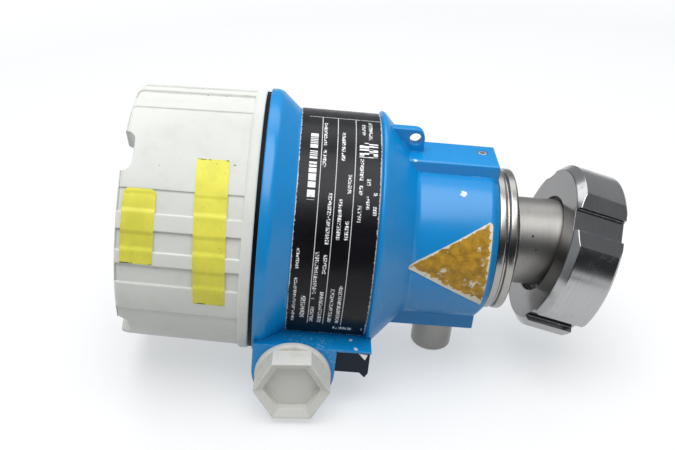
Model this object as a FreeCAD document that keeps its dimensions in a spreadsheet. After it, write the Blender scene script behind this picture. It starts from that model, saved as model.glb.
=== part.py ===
import FreeCAD, Part
import math
import os

import Sketcher

# Pressure transmitter lying on its side: +X runs along the instrument from the lid to the
# process connection, +Z is up and -Y is the side with the blind plug. The origin is the centre
# of the process face. All sizes are in millimetres and degrees.

SIZES = [
    # Process liner and sensor stem, counted back from the process face
    ("liner_cone_length", 12.7, "length of the sealing cone"),
    ("liner_cone_angle", 15.0, "half angle of the sealing cone"),
    ("collar_radius", 24.0, "largest radius of the liner collar"),
    ("collar_width", 0.8, "cylindrical land of the collar"),
    ("tube_radius", 18.1, "outer radius of the liner tube"),
    ("tube_length", 24.7, "tube between collar and sensor shoulder"),
    ("diaphragm_radius", 16.5, "radius of the isolating diaphragm"),
    ("diaphragm_thickness", 0.5, "thickness of the isolating diaphragm"),
    ("diaphragm_gap", 0.2, "radial gap around the isolating diaphragm"),
    ("capillary_radius", 1.0, "bore for the fill fluid"),
    ("shoulder_length", 3.0, "sloping shoulder between ring and tube"),
    ("shoulder_radius", 26.5, "radius where the shoulder leaves the ring"),
    ("ring_radius", 29.3, "radius of the two turned rings"),
    ("ring_width", 3.6, "width of one turned ring"),
    ("ring_gap", 0.8, "groove between the turned rings"),
    ("ring_groove_depth", 1.3, "depth of the groove between the rings"),
    ("ring_edge", 0.5, "edge break on the rings"),
    ("stem_radius", 22.0, "radius of the stem inside the neck"),
    ("stem_length", 29.0, "length of the stem inside the neck"),
    ("stem_clearance", 0.06, "radial running clearance of the stem"),
    ("o_ring_wire", 0.9, "wire radius of the stem O-rings"),
    ("o_ring_squeeze_gap", 0.03, "gap around an O-ring in its groove"),
    ("o_ring_first", 2.0, "first O-ring, from the neck end"),
    ("o_ring_second", 25.5, "second O-ring, from the neck end"),
    ("lock_groove_width", 4.6, "groove that takes the set screw"),
    ("lock_groove_depth", 1.2, "depth of that groove"),
    ("vent_groove_width", 6.0, "groove that takes air from the filter"),
    ("vent_groove_depth", 0.8, "depth of that groove"),
    ("vent_hole_radius", 1.2, "hole from that groove to the cell"),
    ("cell_radius", 13.8, "radius of the measuring cell"),
    ("cell_length", 18.0, "length of the measuring cell"),
    ("cell_gap", 0.2, "radial gap around the measuring cell"),
    ("cell_floor", 5.0, "steel left under the cell, from the neck end"),
    ("sensor_plug_radius", 7.0, "radius of the plug on the cell"),
    ("sensor_plug_length", 15.0, "length of the plug on the cell"),
    ("lead_radius", 2.5, "radius of the lead from the plug to the module"),
    # Housing, counted from the lid seal plane
    ("housing_length", 93.0, "seal plane to neck end"),
    ("flange_radius", 54.0, "radius of the lid flange"),
    ("flange_thickness", 4.2, "thickness of the lid flange"),
    ("flange_edge", 0.6, "edge break on the lid flange"),
    ("barrel_radius", 46.8, "radius of the barrel under the nameplate"),
    ("barrel_start", 12.4, "where the flange cone ends"),
    ("barrel_end", 44.5, "where the ridge begins"),
    ("ridge_radius", 48.6, "radius of the ridge"),
    ("ridge_width", 1.8, "width of the ridge with its slope"),
    ("ridge_slope", 0.6, "slope in front of the ridge"),
    ("neck_radius", 33.5, "radius of the neck"),
    ("neck_chamfer", 3.0, "chamfer at the neck end"),
    ("spigot_radius", 46.0, "radius of the lid thread"),
    ("spigot_length", 13.0, "length of the lid thread"),
    ("spigot_wall", 4.5, "wall of the threaded spigot"),
    ("cavity_depth", 38.0, "depth of the wiring space"),
    ("passage_radius", 12.0, "passage from wiring space to stem"),
    ("pad_width", 21.6, "width of the neck pads"),
    ("pad_root", 20.0, "height inside the neck where the pads begin"),
    ("top_pad_rise", 3.5, "top pad above the neck"),
    ("top_pad_length", 36.4, "length of the top pad"),
    ("top_pad_setback", 0.6, "top pad short of the neck end"),
    ("bottom_pad_rise", 6.2, "bottom pad below the neck"),
    ("bottom_pad_length", 39.5, "length of the bottom pad"),
    ("bottom_pad_setback", 0.5, "bottom pad short of the neck end"),
    ("pad_corner", 1.2, "rounding of the pad edges"),
    ("neck_root", 5.0, "hollow rounding where the cone meets the neck"),
    ("cast_edge", 1.2, "rounding of the cast edges"),
    ("ridge_edge", 0.4, "edge break between ridge and cone"),
    ("lug_setback", 2.7, "start of the tag lug behind the ridge"),
    ("lug_length", 12.6, "length of the tag lug"),
    ("lug_rise", 13.1, "top of the tag lug above the neck"),
    ("lug_thickness", 4.0, "thickness of the tag lug"),
    ("lug_corner", 4.0, "corner radius of the tag lug"),
    ("lug_hole_radius", 2.45, "hole in the tag lug"),
    ("lug_hole_inset", 3.2, "hole in the tag lug from its free end"),
    ("lug_hole_drop", 4.1, "hole in the tag lug below its top"),
    # Cable entry chin
    ("chin_x", 17.2, "cable entry axis from the seal plane"),
    ("chin_drop", 42.5, "cable entry axis below the instrument axis"),
    ("chin_radius", 16.4, "radius of the cross tube"),
    ("chin_overhang", 2.2, "end of the cross tube outside the lid flange"),
    ("chin_top_drop", 29.5, "chin top below the instrument axis"),
    ("ledge_overhang", 0.9, "end of the ledge behind the ridge"),
    ("ledge_thickness", 1.0, "thickness of the ledge"),
    ("entry_radius", 9.25, "thread radius of the cable entries"),
    ("entry_depth", 13.0, "thread depth of the cable entries"),
    ("entry_clearance", 0.06, "radial clearance of a thread in its entry"),
    # Lid and seal
    ("seal_thickness", 1.6, "thickness of the lid seal"),
    ("seal_radius", 52.6, "outer radius of the lid seal"),
    ("seal_gap", 0.3, "radial gap between seal and thread"),
    ("lid_length", 50.6, "length of the lid"),
    ("lid_band_radius", 53.2, "radius of the smooth band by the seal"),
    ("lid_band_width", 5.0, "width of the smooth band"),
    ("lid_grip_radius", 52.6, "grip radius beside the band"),
    ("lid_front_radius", 51.3, "grip radius at the front"),
    ("lid_front_edge", 1.2, "edge break at the lid front"),
    ("lid_thread_clearance", 0.08, "radial running clearance of the lid"),
    ("lid_thread_depth", 14.0, "depth of the lid thread"),
    ("lid_inner_radius", 46.8, "inner radius ahead of the thread"),
    ("lid_wall", 3.6, "thickness of the lid front"),
    ("lid_rim_height", 5.0, "raised rim at the lid front"),
    ("lid_rim_width", 13.0, "width of the raised rim"),
    ("land_angle", 36.5, "middle of the first land from the top"),
    ("land_sweep_angle", 35.0, "width of a land"),
    ("land_depth", 0.5, "lands below the ribs"),
    ("groove_turn_angle", 37.5, "middle groove from the middle of its land"),
    ("groove_angle", 8.0, "width of a grip groove"),
    ("groove_pitch_angle", 16.0, "pitch of the grip grooves"),
    ("groove_depth", 1.1, "depth of a grip groove"),
    ("notch_angle", 19.0, "width of a notch in the rim"),
    # Nameplate
    ("plate_thickness", 0.5, "thickness of the nameplate"),
    ("plate_gap", 0.05, "glue line under the nameplate"),
    ("plate_side_gap", 0.3, "gap between nameplate and its field"),
    ("plate_low_angle", 127.0, "lower edge of the nameplate from the top"),
    ("plate_sweep", 185.0, "angle that the nameplate covers"),
    # Blind plug
    ("plug_flange_radius", 15.9, "flange radius of the blind plug"),
    ("plug_flange_thickness", 2.6, "flange thickness of the blind plug"),
    ("plug_hex", 25.2, "hexagon of the blind plug, across flats"),
    ("plug_hex_height", 9.0, "height of the hexagon"),
    ("plug_turn", 4.0, "turn of the hexagon"),
    ("plug_recess_hex", 20.4, "recess in the hexagon, across flats"),
    ("plug_recess_depth", 4.2, "depth of the recess"),
    ("ring_seal_inset", 0.95, "entry seals outside the thread of their entry"),
    ("ring_seal_width", 1.5, "width of the entry seals"),
    ("ring_seal_height", 1.4, "height of the entry seals"),
    ("ring_seal_gap", 0.15, "gap around the entry seals"),
    ("ring_seal_lift", 0.1, "entry seal off the end of the chin"),
    # Cable gland on the far side
    ("gland_rim", 0.3, "flats of the gland's hexagon outside its seal"),
    ("gland_hex_height", 6.0, "height of the body hexagon"),
    ("gland_neck_radius", 9.5, "neck of the gland body"),
    ("gland_neck_length", 12.0, "length of that neck"),
    ("gland_bore", 6.6, "bore radius of the gland"),
    ("gland_nut_hex_height", 9.0, "hexagon height of the clamping nut"),
    ("gland_nut_length", 15.0, "length of the clamping nut"),
    ("gland_nut_tip", 8.4, "radius at the tip of the clamping nut"),
    ("gland_nut_gap", 0.3, "gap between clamping nut and body"),
    ("gland_nut_clearance", 0.08, "radial running clearance of the nut"),
    ("gland_insert_bore", 4.0, "cable hole in the rubber insert"),
    ("gland_insert_length", 10.0, "length of the rubber insert"),
    ("gland_insert_gap", 0.1, "gap around the rubber insert"),
    # Ground terminal
    ("ground_width", 13.2, "width of the ground terminal block"),
    ("ground_depth", 8.6, "depth of the ground terminal block"),
    ("ground_height", 9.5, "height of the ground terminal block"),
    ("ground_barrel_gap", 0.4, "block in front of the barrel's ridge"),
    ("ground_gap", 0.1, "gap between block and ledge"),
    ("ground_tooth", 2.2, "lip under the block"),
    ("ground_tooth_width", 3.5, "width of that lip"),
    ("ground_tooth_tip", 1.2, "tip of that lip from the block's side"),
    ("clamp_thickness", 1.2, "thickness of the clamp plate"),
    ("clamp_side", 4.8, "side of the clamp plate"),
    ("ground_screw_radius", 1.9, "shank radius of the ground screw"),
    ("ground_screw_hole_gap", 0.1, "gap around the ground screw"),
    ("ground_screw_bite", 8.0, "thread of the ground screw in the chin"),
    ("ground_head_radius", 3.2, "head radius of the ground screw"),
    ("ground_head_height", 2.6, "head height of the ground screw"),
    ("ground_head_gap", 0.3, "gap around that head in the block"),
    ("ground_head_sink", 4.6, "depth of the head's hole in the block"),
    ("ground_slot_width", 1.0, "slot in the ground screw head"),
    ("ground_slot_depth", 1.2, "depth of that slot"),
    # Vent filter
    ("filter_from_end", 15.6, "filter axis from the neck end"),
    ("filter_radius", 8.7, "radius of the filter cap"),
    ("filter_length", 14.6, "filter cap below the pad"),
    ("filter_edge", 1.6, "edge break at the filter end"),
    ("filter_stub_radius", 6.4, "stub of the filter cap"),
    ("filter_stub_length", 8.0, "length of that stub"),
    ("filter_stub_gap", 0.1, "gap around the stub"),
    ("filter_bore", 4.5, "bore of the filter cap"),
    ("filter_wall", 3.0, "end wall of the filter cap"),
    ("membrane_thickness", 1.2, "thickness of the vent membrane"),
    ("membrane_gap", 0.1, "radial gap around the vent membrane"),
    ("filter_seal_height", 1.2, "height of the filter seal"),
    ("filter_seal_width", 1.1, "width of the filter seal"),
    ("filter_seal_gap", 0.1, "radial gap around the filter seal"),
    # Locking set screw
    ("lock_from_end", 6.3, "set screw from the neck end"),
    ("lock_side", 3.0, "set screw beside the middle of the pad"),
    ("lock_radius", 2.0, "radius of the set screw"),
    ("lock_gap", 0.1, "gap around the set screw"),
    ("lock_sink", 0.6, "set screw below the pad"),
    ("lock_tip_gap", 0.3, "set screw tip from the floor of the stem groove"),
    ("lock_socket", 2.0, "hexagon socket, across flats"),
    ("lock_socket_depth", 2.0, "depth of that socket"),
    # Electronics
    ("module_radius", 40.7, "radius of the electronics module"),
    ("module_length", 17.0, "length of the electronics module"),
    ("module_edge", 1.5, "edge break on the module"),
    ("module_screw_circle", 33.0, "circle of the module screws"),
    ("module_screw_radius", 1.9, "shank radius of a module screw"),
    ("module_screw_gap", 0.2, "gap around a module screw"),
    ("module_thread_gap", 0.06, "radial gap of a module screw in its thread"),
    ("module_screw_bite", 5.0, "thread of a module screw in the housing"),
    ("module_head_radius", 3.5, "head radius of a module screw"),
    ("module_head_height", 2.5, "head height of a module screw"),
    ("terminal_width", 44.0, "width of the terminal block"),
    ("terminal_depth", 16.0, "height of the terminal block across the axis"),
    ("terminal_height", 10.0, "terminal block in front of the module"),
    ("terminal_pitch", 13.0, "pitch of the terminals"),
    ("terminal_screw_radius", 2.6, "radius of a terminal screw"),
    ("terminal_screw_depth", 6.0, "depth of a terminal screw"),
    ("terminal_screw_proud", 0.8, "terminal screw in front of its block"),
    ("terminal_screw_gap", 0.2, "gap around a terminal screw"),
    ("wire_hole", 3.0, "radius of a wire hole in the terminal block"),
    ("wire_hole_depth", 4.0, "depth of a wire hole"),
    # Union nut
    ("nut_radius", 35.0, "outer radius of the union nut"),
    ("nut_length", 21.0, "length of the union nut"),
    ("nut_web", 4.5, "thickness of the nut web"),
    ("nut_web_bore", 20.6, "radius of the hole in the nut web"),
    ("nut_thread_radius", 27.1, "inner radius of the nut thread"),
    ("nut_face_chamfer", 3.0, "chamfer at the web face"),
    ("nut_back_chamfer", 1.0, "chamfer at the open end"),
    ("nut_slot_width", 9.6, "width of a spanner slot"),
    ("nut_slot_depth", 4.0, "depth of a spanner slot"),
    ("nut_slot_angle", 41.0, "first spanner slot from the top"),
    ("nut_flat_depth", 1.9, "depth of the flat on both sides of a slot"),
    ("nut_setback", 25.0, "web face behind the process face"),
    ("nut_drop", 0.6, "web face centre below the axis"),
    ("nut_droop", 13.5, "tilt of the loose nut"),
]

doc = FreeCAD.newDocument("PressureTransmitter")
sheet = doc.addObject("Spreadsheet::Sheet", "Sizes")
for row, (alias, number, note) in enumerate(SIZES, start=1):
    sheet.set("A%d" % row, alias)
    sheet.set("B%d" % row, str(number))
    sheet.set("C%d" % row, note)
    sheet.setAlias("B%d" % row, alias)
doc.recompute()


class Size:
    """A number together with the expression that yields it from the sheet."""

    def __init__(self, value, text):
        self.value = value
        self.text = text

    def _join(self, sign, other, value):
        other = as_size(other)
        return Size(value(self.value, other.value), "(%s %s %s)" % (self.text, sign, other.text))

    def __add__(self, other):
        return self._join("+", other, lambda a, b: a + b)

    def __sub__(self, other):
        return self._join("-", other, lambda a, b: a - b)

    def __mul__(self, other):
        return self._join("*", other, lambda a, b: a * b)

    def __truediv__(self, other):
        return self._join("/", other, lambda a, b: a / b)

    def __neg__(self):
        return Size(-self.value, "(0 - %s)" % self.text)


def as_size(number):
    """Let a plain number take part in sums of sizes."""
    if isinstance(number, Size):
        return number
    return Size(float(number), "(%r)" % float(number))


class Sheet:
    """Gives each cell of the sheet as a Size, by its alias."""

    def __getattr__(self, alias):
        return Size(float(sheet.get(alias)), "<<Sizes>>.%s" % alias)


S = Sheet()
ZERO = as_size(0)
FULL_TURN = as_size(360)
QUARTER_TURN = as_size(90)
SQRT3 = math.sqrt(3)

# Two places this close are the same place
NEAR = 0.01

# Cuts run this far past the faces that they open
OVERSHOOT = as_size(2)

# A sketch turns about its own horizontal axis or about its normal
SKETCH_ACROSS = FreeCAD.Vector(1, 0, 0)
SKETCH_NORMAL = FreeCAD.Vector(0, 0, 1)


def tangent(angle):
    return Size(math.tan(math.radians(angle.value)), "tan(%s * 1 deg)" % angle.text)


def cosine(angle):
    return Size(math.cos(math.radians(angle.value)), "cos(%s * 1 deg)" % angle.text)


def sine(angle):
    return Size(math.sin(math.radians(angle.value)), "sin(%s * 1 deg)" % angle.text)


def root_of_difference(long_side, short_side):
    """The other side of a right triangle."""
    value = math.sqrt(long_side.value ** 2 - short_side.value ** 2)
    return Size(value, "sqrt(%s ^ 2 - %s ^ 2)" % (long_side.text, short_side.text))


def bind(target, path, size):
    target.setExpression(path, as_size(size).text)


def body_at(label, x=ZERO, y=ZERO, z=ZERO, turn=FreeCAD.Rotation()):
    """A new body whose place is bound to the sheet."""
    body = doc.addObject("PartDesign::Body", label)
    body.Label = label
    place = FreeCAD.Vector(as_size(x).value, as_size(y).value, as_size(z).value)
    body.Placement = FreeCAD.Placement(place, turn)
    for axis, size in zip("xyz", (x, y, z)):
        bind(body, "Placement.Base.%s" % axis, size)
    doc.recompute()
    return body


def origin_part(body, role):
    return next(item for item in body.Origin.OriginFeatures if item.Role == role)


def sketch_on(body, name, plane, offset=ZERO, turn_axis=None, turn=ZERO):
    """A sketch on an origin plane, moved along its normal or turned about one of its axes."""
    sketch = body.newObject("Sketcher::SketchObject", name)
    sketch.AttachmentSupport = [(origin_part(body, plane), "")]
    sketch.MapMode = "FlatFace"
    axis = turn_axis or SKETCH_ACROSS
    rotation = FreeCAD.Rotation(axis, as_size(turn).value)
    sketch.AttachmentOffset = FreeCAD.Placement(FreeCAD.Vector(0, 0, as_size(offset).value), rotation)
    bind(sketch, "AttachmentOffset.Base.z", offset)
    if turn_axis is not None:
        bind(sketch, "AttachmentOffset.Rotation.Angle", turn)
    return sketch


def dimension(sketch, name, kind, geometry, point, size):
    """One driving dimension from the sketch origin, bound to the sheet."""
    index = sketch.addConstraint(Sketcher.Constraint(kind, -1, 1, geometry, point, size.value))
    sketch.renameConstraint(index, name)
    bind(sketch, "Constraints.%s" % name, size)


def outline(sketch, points):
    """A closed outline of straight lines through points given as sizes."""
    corners = [(as_size(u), as_size(v)) for u, v in points]
    vectors = [FreeCAD.Vector(u.value, v.value, 0) for u, v in corners]
    first = sketch.GeometryCount
    count = len(vectors)
    for i in range(count):
        sketch.addGeometry(Part.LineSegment(vectors[i], vectors[(i + 1) % count]), False)
    for i in range(count):
        follower = first + (i + 1) % count
        sketch.addConstraint(Sketcher.Constraint("Coincident", first + i, 2, follower, 1))
    for i, (u, v) in enumerate(corners):
        dimension(sketch, "u%d" % (first + i), "DistanceX", first + i, 1, u)
        dimension(sketch, "v%d" % (first + i), "DistanceY", first + i, 1, v)


def circle(sketch, u, v, radius):
    """A circle whose centre and radius are bound to the sheet."""
    u, v = as_size(u), as_size(v)
    number = sketch.GeometryCount
    middle = FreeCAD.Vector(u.value, v.value, 0)
    sketch.addGeometry(Part.Circle(middle, SKETCH_NORMAL, radius.value), False)
    dimension(sketch, "u%d" % number, "DistanceX", number, 3, u)
    dimension(sketch, "v%d" % number, "DistanceY", number, 3, v)
    index = sketch.addConstraint(Sketcher.Constraint("Radius", number, radius.value))
    sketch.renameConstraint(index, "radius%d" % number)
    bind(sketch, "Constraints.radius%d" % number, radius)


def hexagon(sketch, across):
    """A regular hexagon about the sketch origin, with corners at its left and right."""
    half = across / 2
    side = across / (2 * SQRT3)
    outline(sketch, [
        (side * 2, ZERO),
        (side, half),
        (-side, half),
        (-side * 2, ZERO),
        (-side, -half),
        (side, -half),
    ])


def round_bottomed(sketch, u, v, radius, top):
    """A closed outline with a flat top, straight sides and half a circle below."""
    corners = [(u + radius, v), (u + radius, top), (u - radius, top), (u - radius, v)]
    vectors = [FreeCAD.Vector(corner_u.value, corner_v.value, 0) for corner_u, corner_v in corners]
    for start, end in zip(vectors, vectors[1:]):
        sketch.addGeometry(Part.LineSegment(start, end), False)
    whole = Part.Circle(FreeCAD.Vector(u.value, v.value, 0), SKETCH_NORMAL, radius.value)
    arc = sketch.addGeometry(Part.ArcOfCircle(whole, math.pi, 2 * math.pi), False)
    for line in range(arc):
        sketch.addConstraint(Sketcher.Constraint("Coincident", line, 2, line + 1, 1))
        dimension(sketch, "u%d" % line, "DistanceX", line, 1, corners[line][0])
        dimension(sketch, "v%d" % line, "DistanceY", line, 1, corners[line][1])
    sketch.addConstraint(Sketcher.Constraint("Coincident", arc, 2, 0, 1))
    dimension(sketch, "u%d" % arc, "DistanceX", arc, 1, corners[arc][0])
    dimension(sketch, "v%d" % arc, "DistanceY", arc, 1, corners[arc][1])
    dimension(sketch, "middle", "DistanceY", arc, 3, v)


def feature(body, kind, name, sketch, **settings):
    """A PartDesign feature; sizes among the settings are bound to the sheet."""
    item = body.newObject("PartDesign::%s" % kind, name)
    item.Profile = sketch
    for key, value in settings.items():
        if isinstance(value, Size):
            setattr(item, key, value.value)
            bind(item, key, value)
        else:
            setattr(item, key, value)
    doc.recompute()
    return item


def turned(body, points, angle=FULL_TURN, turn=None):
    """A revolved solid: points are distance along X and radius."""
    axis = SKETCH_ACROSS if turn is not None else None
    sketch = sketch_on(body, "Profile", "XY_Plane", turn_axis=axis, turn=turn or ZERO)
    outline(sketch, points)
    return feature(body, "Revolution", "Turned", sketch, ReferenceAxis=(sketch, ["H_Axis"]), Angle=angle)


def turned_cut(body, name, points, angle=FULL_TURN, turn=None):
    """A revolved cut, over part of a turn about the middle of its sketch plane if asked."""
    axis = SKETCH_ACROSS if turn is not None else None
    sketch = sketch_on(body, name + "Profile", "XY_Plane", turn_axis=axis, turn=turn or ZERO)
    outline(sketch, points)
    return feature(body, "Groove", name, sketch, ReferenceAxis=(sketch, ["H_Axis"]), Angle=angle,
                   Midplane=turn is not None)


def slab(body, name, plane, points, thickness, offset=ZERO):
    """A pad of straight outline, lying half on each side of its plane."""
    sketch = sketch_on(body, name + "Outline", plane, offset)
    outline(sketch, points)
    return feature(body, "Pad", name, sketch, Length=thickness, Midplane=True)


def box_points(u0, u1, v0, v1):
    return [(u0, v0), (u1, v0), (u1, v1), (u0, v1)]


def drill(body, name, plane, places, radius, offset, depth, backwards=False):
    """Round holes of one radius, cut from a plane at the given offset."""
    sketch = sketch_on(body, name + "Centres", plane, offset)
    for u, v in places:
        circle(sketch, u, v, radius)
    before = body.Shape.Volume
    cut = feature(body, "Pocket", name, sketch, Length=depth, Reversed=backwards)
    if body.Shape.Volume >= before:
        raise RuntimeError("%s cuts nothing in %s" % (name, body.Label))
    return cut


def ring_of(body, originals, copies):
    """Copies of features, evenly round the body's X axis."""
    pattern = body.newObject("PartDesign::PolarPattern", "Ring")
    pattern.Originals = originals
    pattern.Axis = (origin_part(body, "X_Axis"), [""])
    pattern.Angle = FULL_TURN.value
    pattern.Occurrences = copies
    body.Tip = pattern
    doc.recompute()
    return pattern


def rounded(body, name, radius, chosen):
    """Rounds the edges of the body's tip for which chosen(edge) is true."""
    tip = body.Tip
    names = ["Edge%d" % n for n, edge in enumerate(tip.Shape.Edges, start=1) if chosen(edge)]
    if not names:
        raise RuntimeError("no edge to round in %s" % body.Label)
    item = body.newObject("PartDesign::Fillet", name)
    item.Base = (tip, names)
    item.Radius = radius.value
    bind(item, "Radius", radius)
    doc.recompute()
    return item


# Directions for bodies that are built along their own X axis
FACING_FRONT = FreeCAD.Rotation(FreeCAD.Vector(0, 0, 1), -90)
FACING_BACK = FreeCAD.Rotation(FreeCAD.Vector(0, 0, 1), 90)
FACING_UP = FreeCAD.Rotation(FreeCAD.Vector(0, 1, 0), -90)
FACING_DOWN = FreeCAD.Rotation(FreeCAD.Vector(0, 1, 0), 90)

# Turns a piece that is built along its own Z axis so that it runs along +X
ALONG_X = FreeCAD.Rotation(FreeCAD.Vector(0, 1, 0), 90)

# Stations along X that several pieces share
COLLAR_BACK = -(S.liner_cone_length + S.collar_width)
SENSOR_FACE = COLLAR_BACK - S.tube_length
RINGS_LENGTH = S.ring_width * 2 + S.ring_gap
NECK_END = SENSOR_FACE - S.shoulder_length - RINGS_LENGTH
SEAL_PLANE = NECK_END - S.housing_length
LID_RIM = SEAL_PLANE - S.seal_thickness
CELL_SEAT = NECK_END - S.cell_floor
MODULE_BACK = SEAL_PLANE + S.cavity_depth
MODULE_FRONT = MODULE_BACK - S.module_length
PLUG_TOP = CELL_SEAT - S.cell_length - S.sensor_plug_length
CHIN_BACK = root_of_difference(S.flange_radius, S.chin_top_drop) + S.chin_overhang
CHIN_FRONT = -CHIN_BACK
CHIN_WIDTH = CHIN_BACK * 2
CAVITY_RADIUS = S.spigot_radius - S.spigot_wall
STEM_BORE = S.stem_radius + S.stem_clearance
CHIN_RIGHT = S.chin_x + S.chin_radius
GROUND_TOP = -(S.chin_top_drop + S.ledge_thickness + S.ground_gap)
GROUND_BACK = -(root_of_difference(S.ridge_radius, GROUND_TOP) + S.ground_barrel_gap)
GROUND_MID_Y = GROUND_BACK - S.ground_depth / 2
GROUND_MID_Z = GROUND_TOP - S.ground_height / 2
GROUND_SEAT = CHIN_RIGHT + S.ground_width - S.ground_head_sink
ENTRY_SEAL_INNER = S.entry_radius + S.ring_seal_inset
ENTRY_SEAL_OUTER = ENTRY_SEAL_INNER + S.ring_seal_width
GLAND_HEX = (ENTRY_SEAL_OUTER + S.gland_rim) * 2

# Stations in the housing, counted from the seal plane, and heights above its axis
RIDGE_END = S.barrel_end + S.ridge_width
LUG_START = RIDGE_END + S.lug_setback
LUG_END = LUG_START + S.lug_length
LUG_TOP = S.neck_radius + S.lug_rise
TOP_PAD = S.neck_radius + S.top_pad_rise
BOTTOM_PAD = S.neck_radius + S.bottom_pad_rise
FILTER_X = S.housing_length - S.filter_from_end
LOCK_X = S.housing_length - S.lock_from_end

# Counts and steps of what repeats
LAND_COUNT = 4
SLOT_COUNT = 4
THREE_ABREAST = (-1, 0, 1)
SCREW_TURNS = (90, 210, 330)


def screw_place(turn):
    """Place of a module screw across the axis, as Y and Z."""
    angle = as_size(turn)
    return S.module_screw_circle * cosine(angle), S.module_screw_circle * sine(angle)


def make_housing():
    """Cast housing: flange, barrel, ridge, cone and neck, with its chin, pads and lug."""
    body = body_at("housing", SEAL_PLANE)
    cone_end = RIDGE_END + S.ridge_radius - S.neck_radius
    turned(body, [
        (-S.spigot_length, ZERO),
        (-S.spigot_length, S.spigot_radius),
        (ZERO, S.spigot_radius),
        (ZERO, S.flange_radius - S.flange_edge),
        (S.flange_edge, S.flange_radius),
        (S.flange_thickness, S.flange_radius),
        (S.barrel_start, S.barrel_radius),
        (S.barrel_end, S.barrel_radius),
        (S.barrel_end + S.ridge_slope, S.ridge_radius),
        (RIDGE_END - S.ridge_edge, S.ridge_radius),
        (RIDGE_END + S.ridge_edge, S.ridge_radius - S.ridge_edge),
        (cone_end, S.neck_radius),
        (S.housing_length - S.neck_chamfer, S.neck_radius),
        (S.housing_length, S.neck_radius - S.neck_chamfer),
        (S.housing_length, ZERO),
    ])
    rounded(body, "NeckRoot", S.neck_root, lambda edge: is_ring(edge, cone_end, S.neck_radius))
    rounded(body, "FlangeEdge", S.cast_edge, lambda edge: is_ring(edge, S.flange_thickness, S.flange_radius))
    add_pads_and_lug(body)
    add_chin(body)
    cut_housing_spaces(body)
    return body


def add_pads_and_lug(body):
    """Flat pads above and below the neck, and the lug for a tag wire."""
    top_end = S.housing_length - S.top_pad_setback
    bottom_end = S.housing_length - S.bottom_pad_setback
    slab(body, "TopPad", "XZ_Plane",
         box_points(top_end - S.top_pad_length, top_end, S.pad_root, TOP_PAD), S.pad_width)
    rounded(body, "TopPadEdges", S.pad_corner, lambda edge: is_pad_edge(edge, TOP_PAD.value))
    slab(body, "BottomPad", "XZ_Plane",
         box_points(bottom_end - S.bottom_pad_length, bottom_end, -BOTTOM_PAD, -S.pad_root), S.pad_width)
    rounded(body, "BottomPadEdges", S.pad_corner, lambda edge: is_pad_edge(edge, -BOTTOM_PAD.value))
    slab(body, "Lug", "XZ_Plane", box_points(LUG_START, LUG_END, S.neck_radius, LUG_TOP), S.lug_thickness)
    rounded(body, "LugCorner", S.lug_corner, is_lug_corner)


def is_ring(edge, x, radius):
    """A full circle round the axis at the given station and radius."""
    curve = edge.Curve
    if not isinstance(curve, Part.Circle):
        return False
    return abs(curve.Center.x - x.value) < NEAR and abs(curve.Radius - radius.value) < NEAR


def is_pad_edge(edge, height):
    """A straight long edge of a pad's flat face, or the one across its end."""
    ends = [vertex.Point for vertex in edge.Vertexes]
    if len(ends) != 2 or any(abs(point.z - height) > NEAR for point in ends):
        return False
    half = S.pad_width.value / 2
    return all(abs(abs(point.y) - half) < NEAR for point in ends)


def is_lug_corner(edge):
    """The edge across the lug at its upper free corner."""
    return all(abs(vertex.Point.x - LUG_END.value) < NEAR
               and abs(vertex.Point.z - LUG_TOP.value) < NEAR for vertex in edge.Vertexes)


def add_chin(body):
    """Cross tube for the two cable entries, with the ledge that runs on beside it."""
    tube = sketch_on(body, "ChinOutline", "XZ_Plane")
    round_bottomed(tube, S.chin_x, -S.chin_drop, S.chin_radius, -S.chin_top_drop)
    feature(body, "Pad", "Chin", tube, Length=CHIN_WIDTH, Midplane=True)
    ledge_end = RIDGE_END + S.ledge_overhang
    slab(body, "Ledge", "XZ_Plane",
         box_points(S.chin_x, ledge_end, -(S.chin_top_drop + S.ledge_thickness), -S.chin_top_drop),
         CHIN_WIDTH)
    rounded(body, "ChinEdge", S.cast_edge, is_chin_end)


def is_chin_end(edge):
    """The round edge of the cross tube's two end faces."""
    curve = edge.Curve
    if not isinstance(curve, Part.Circle):
        return False
    on_end = abs(abs(curve.Center.y) - CHIN_BACK.value) < NEAR
    return on_end and abs(curve.Radius - S.chin_radius.value) < NEAR


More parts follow.
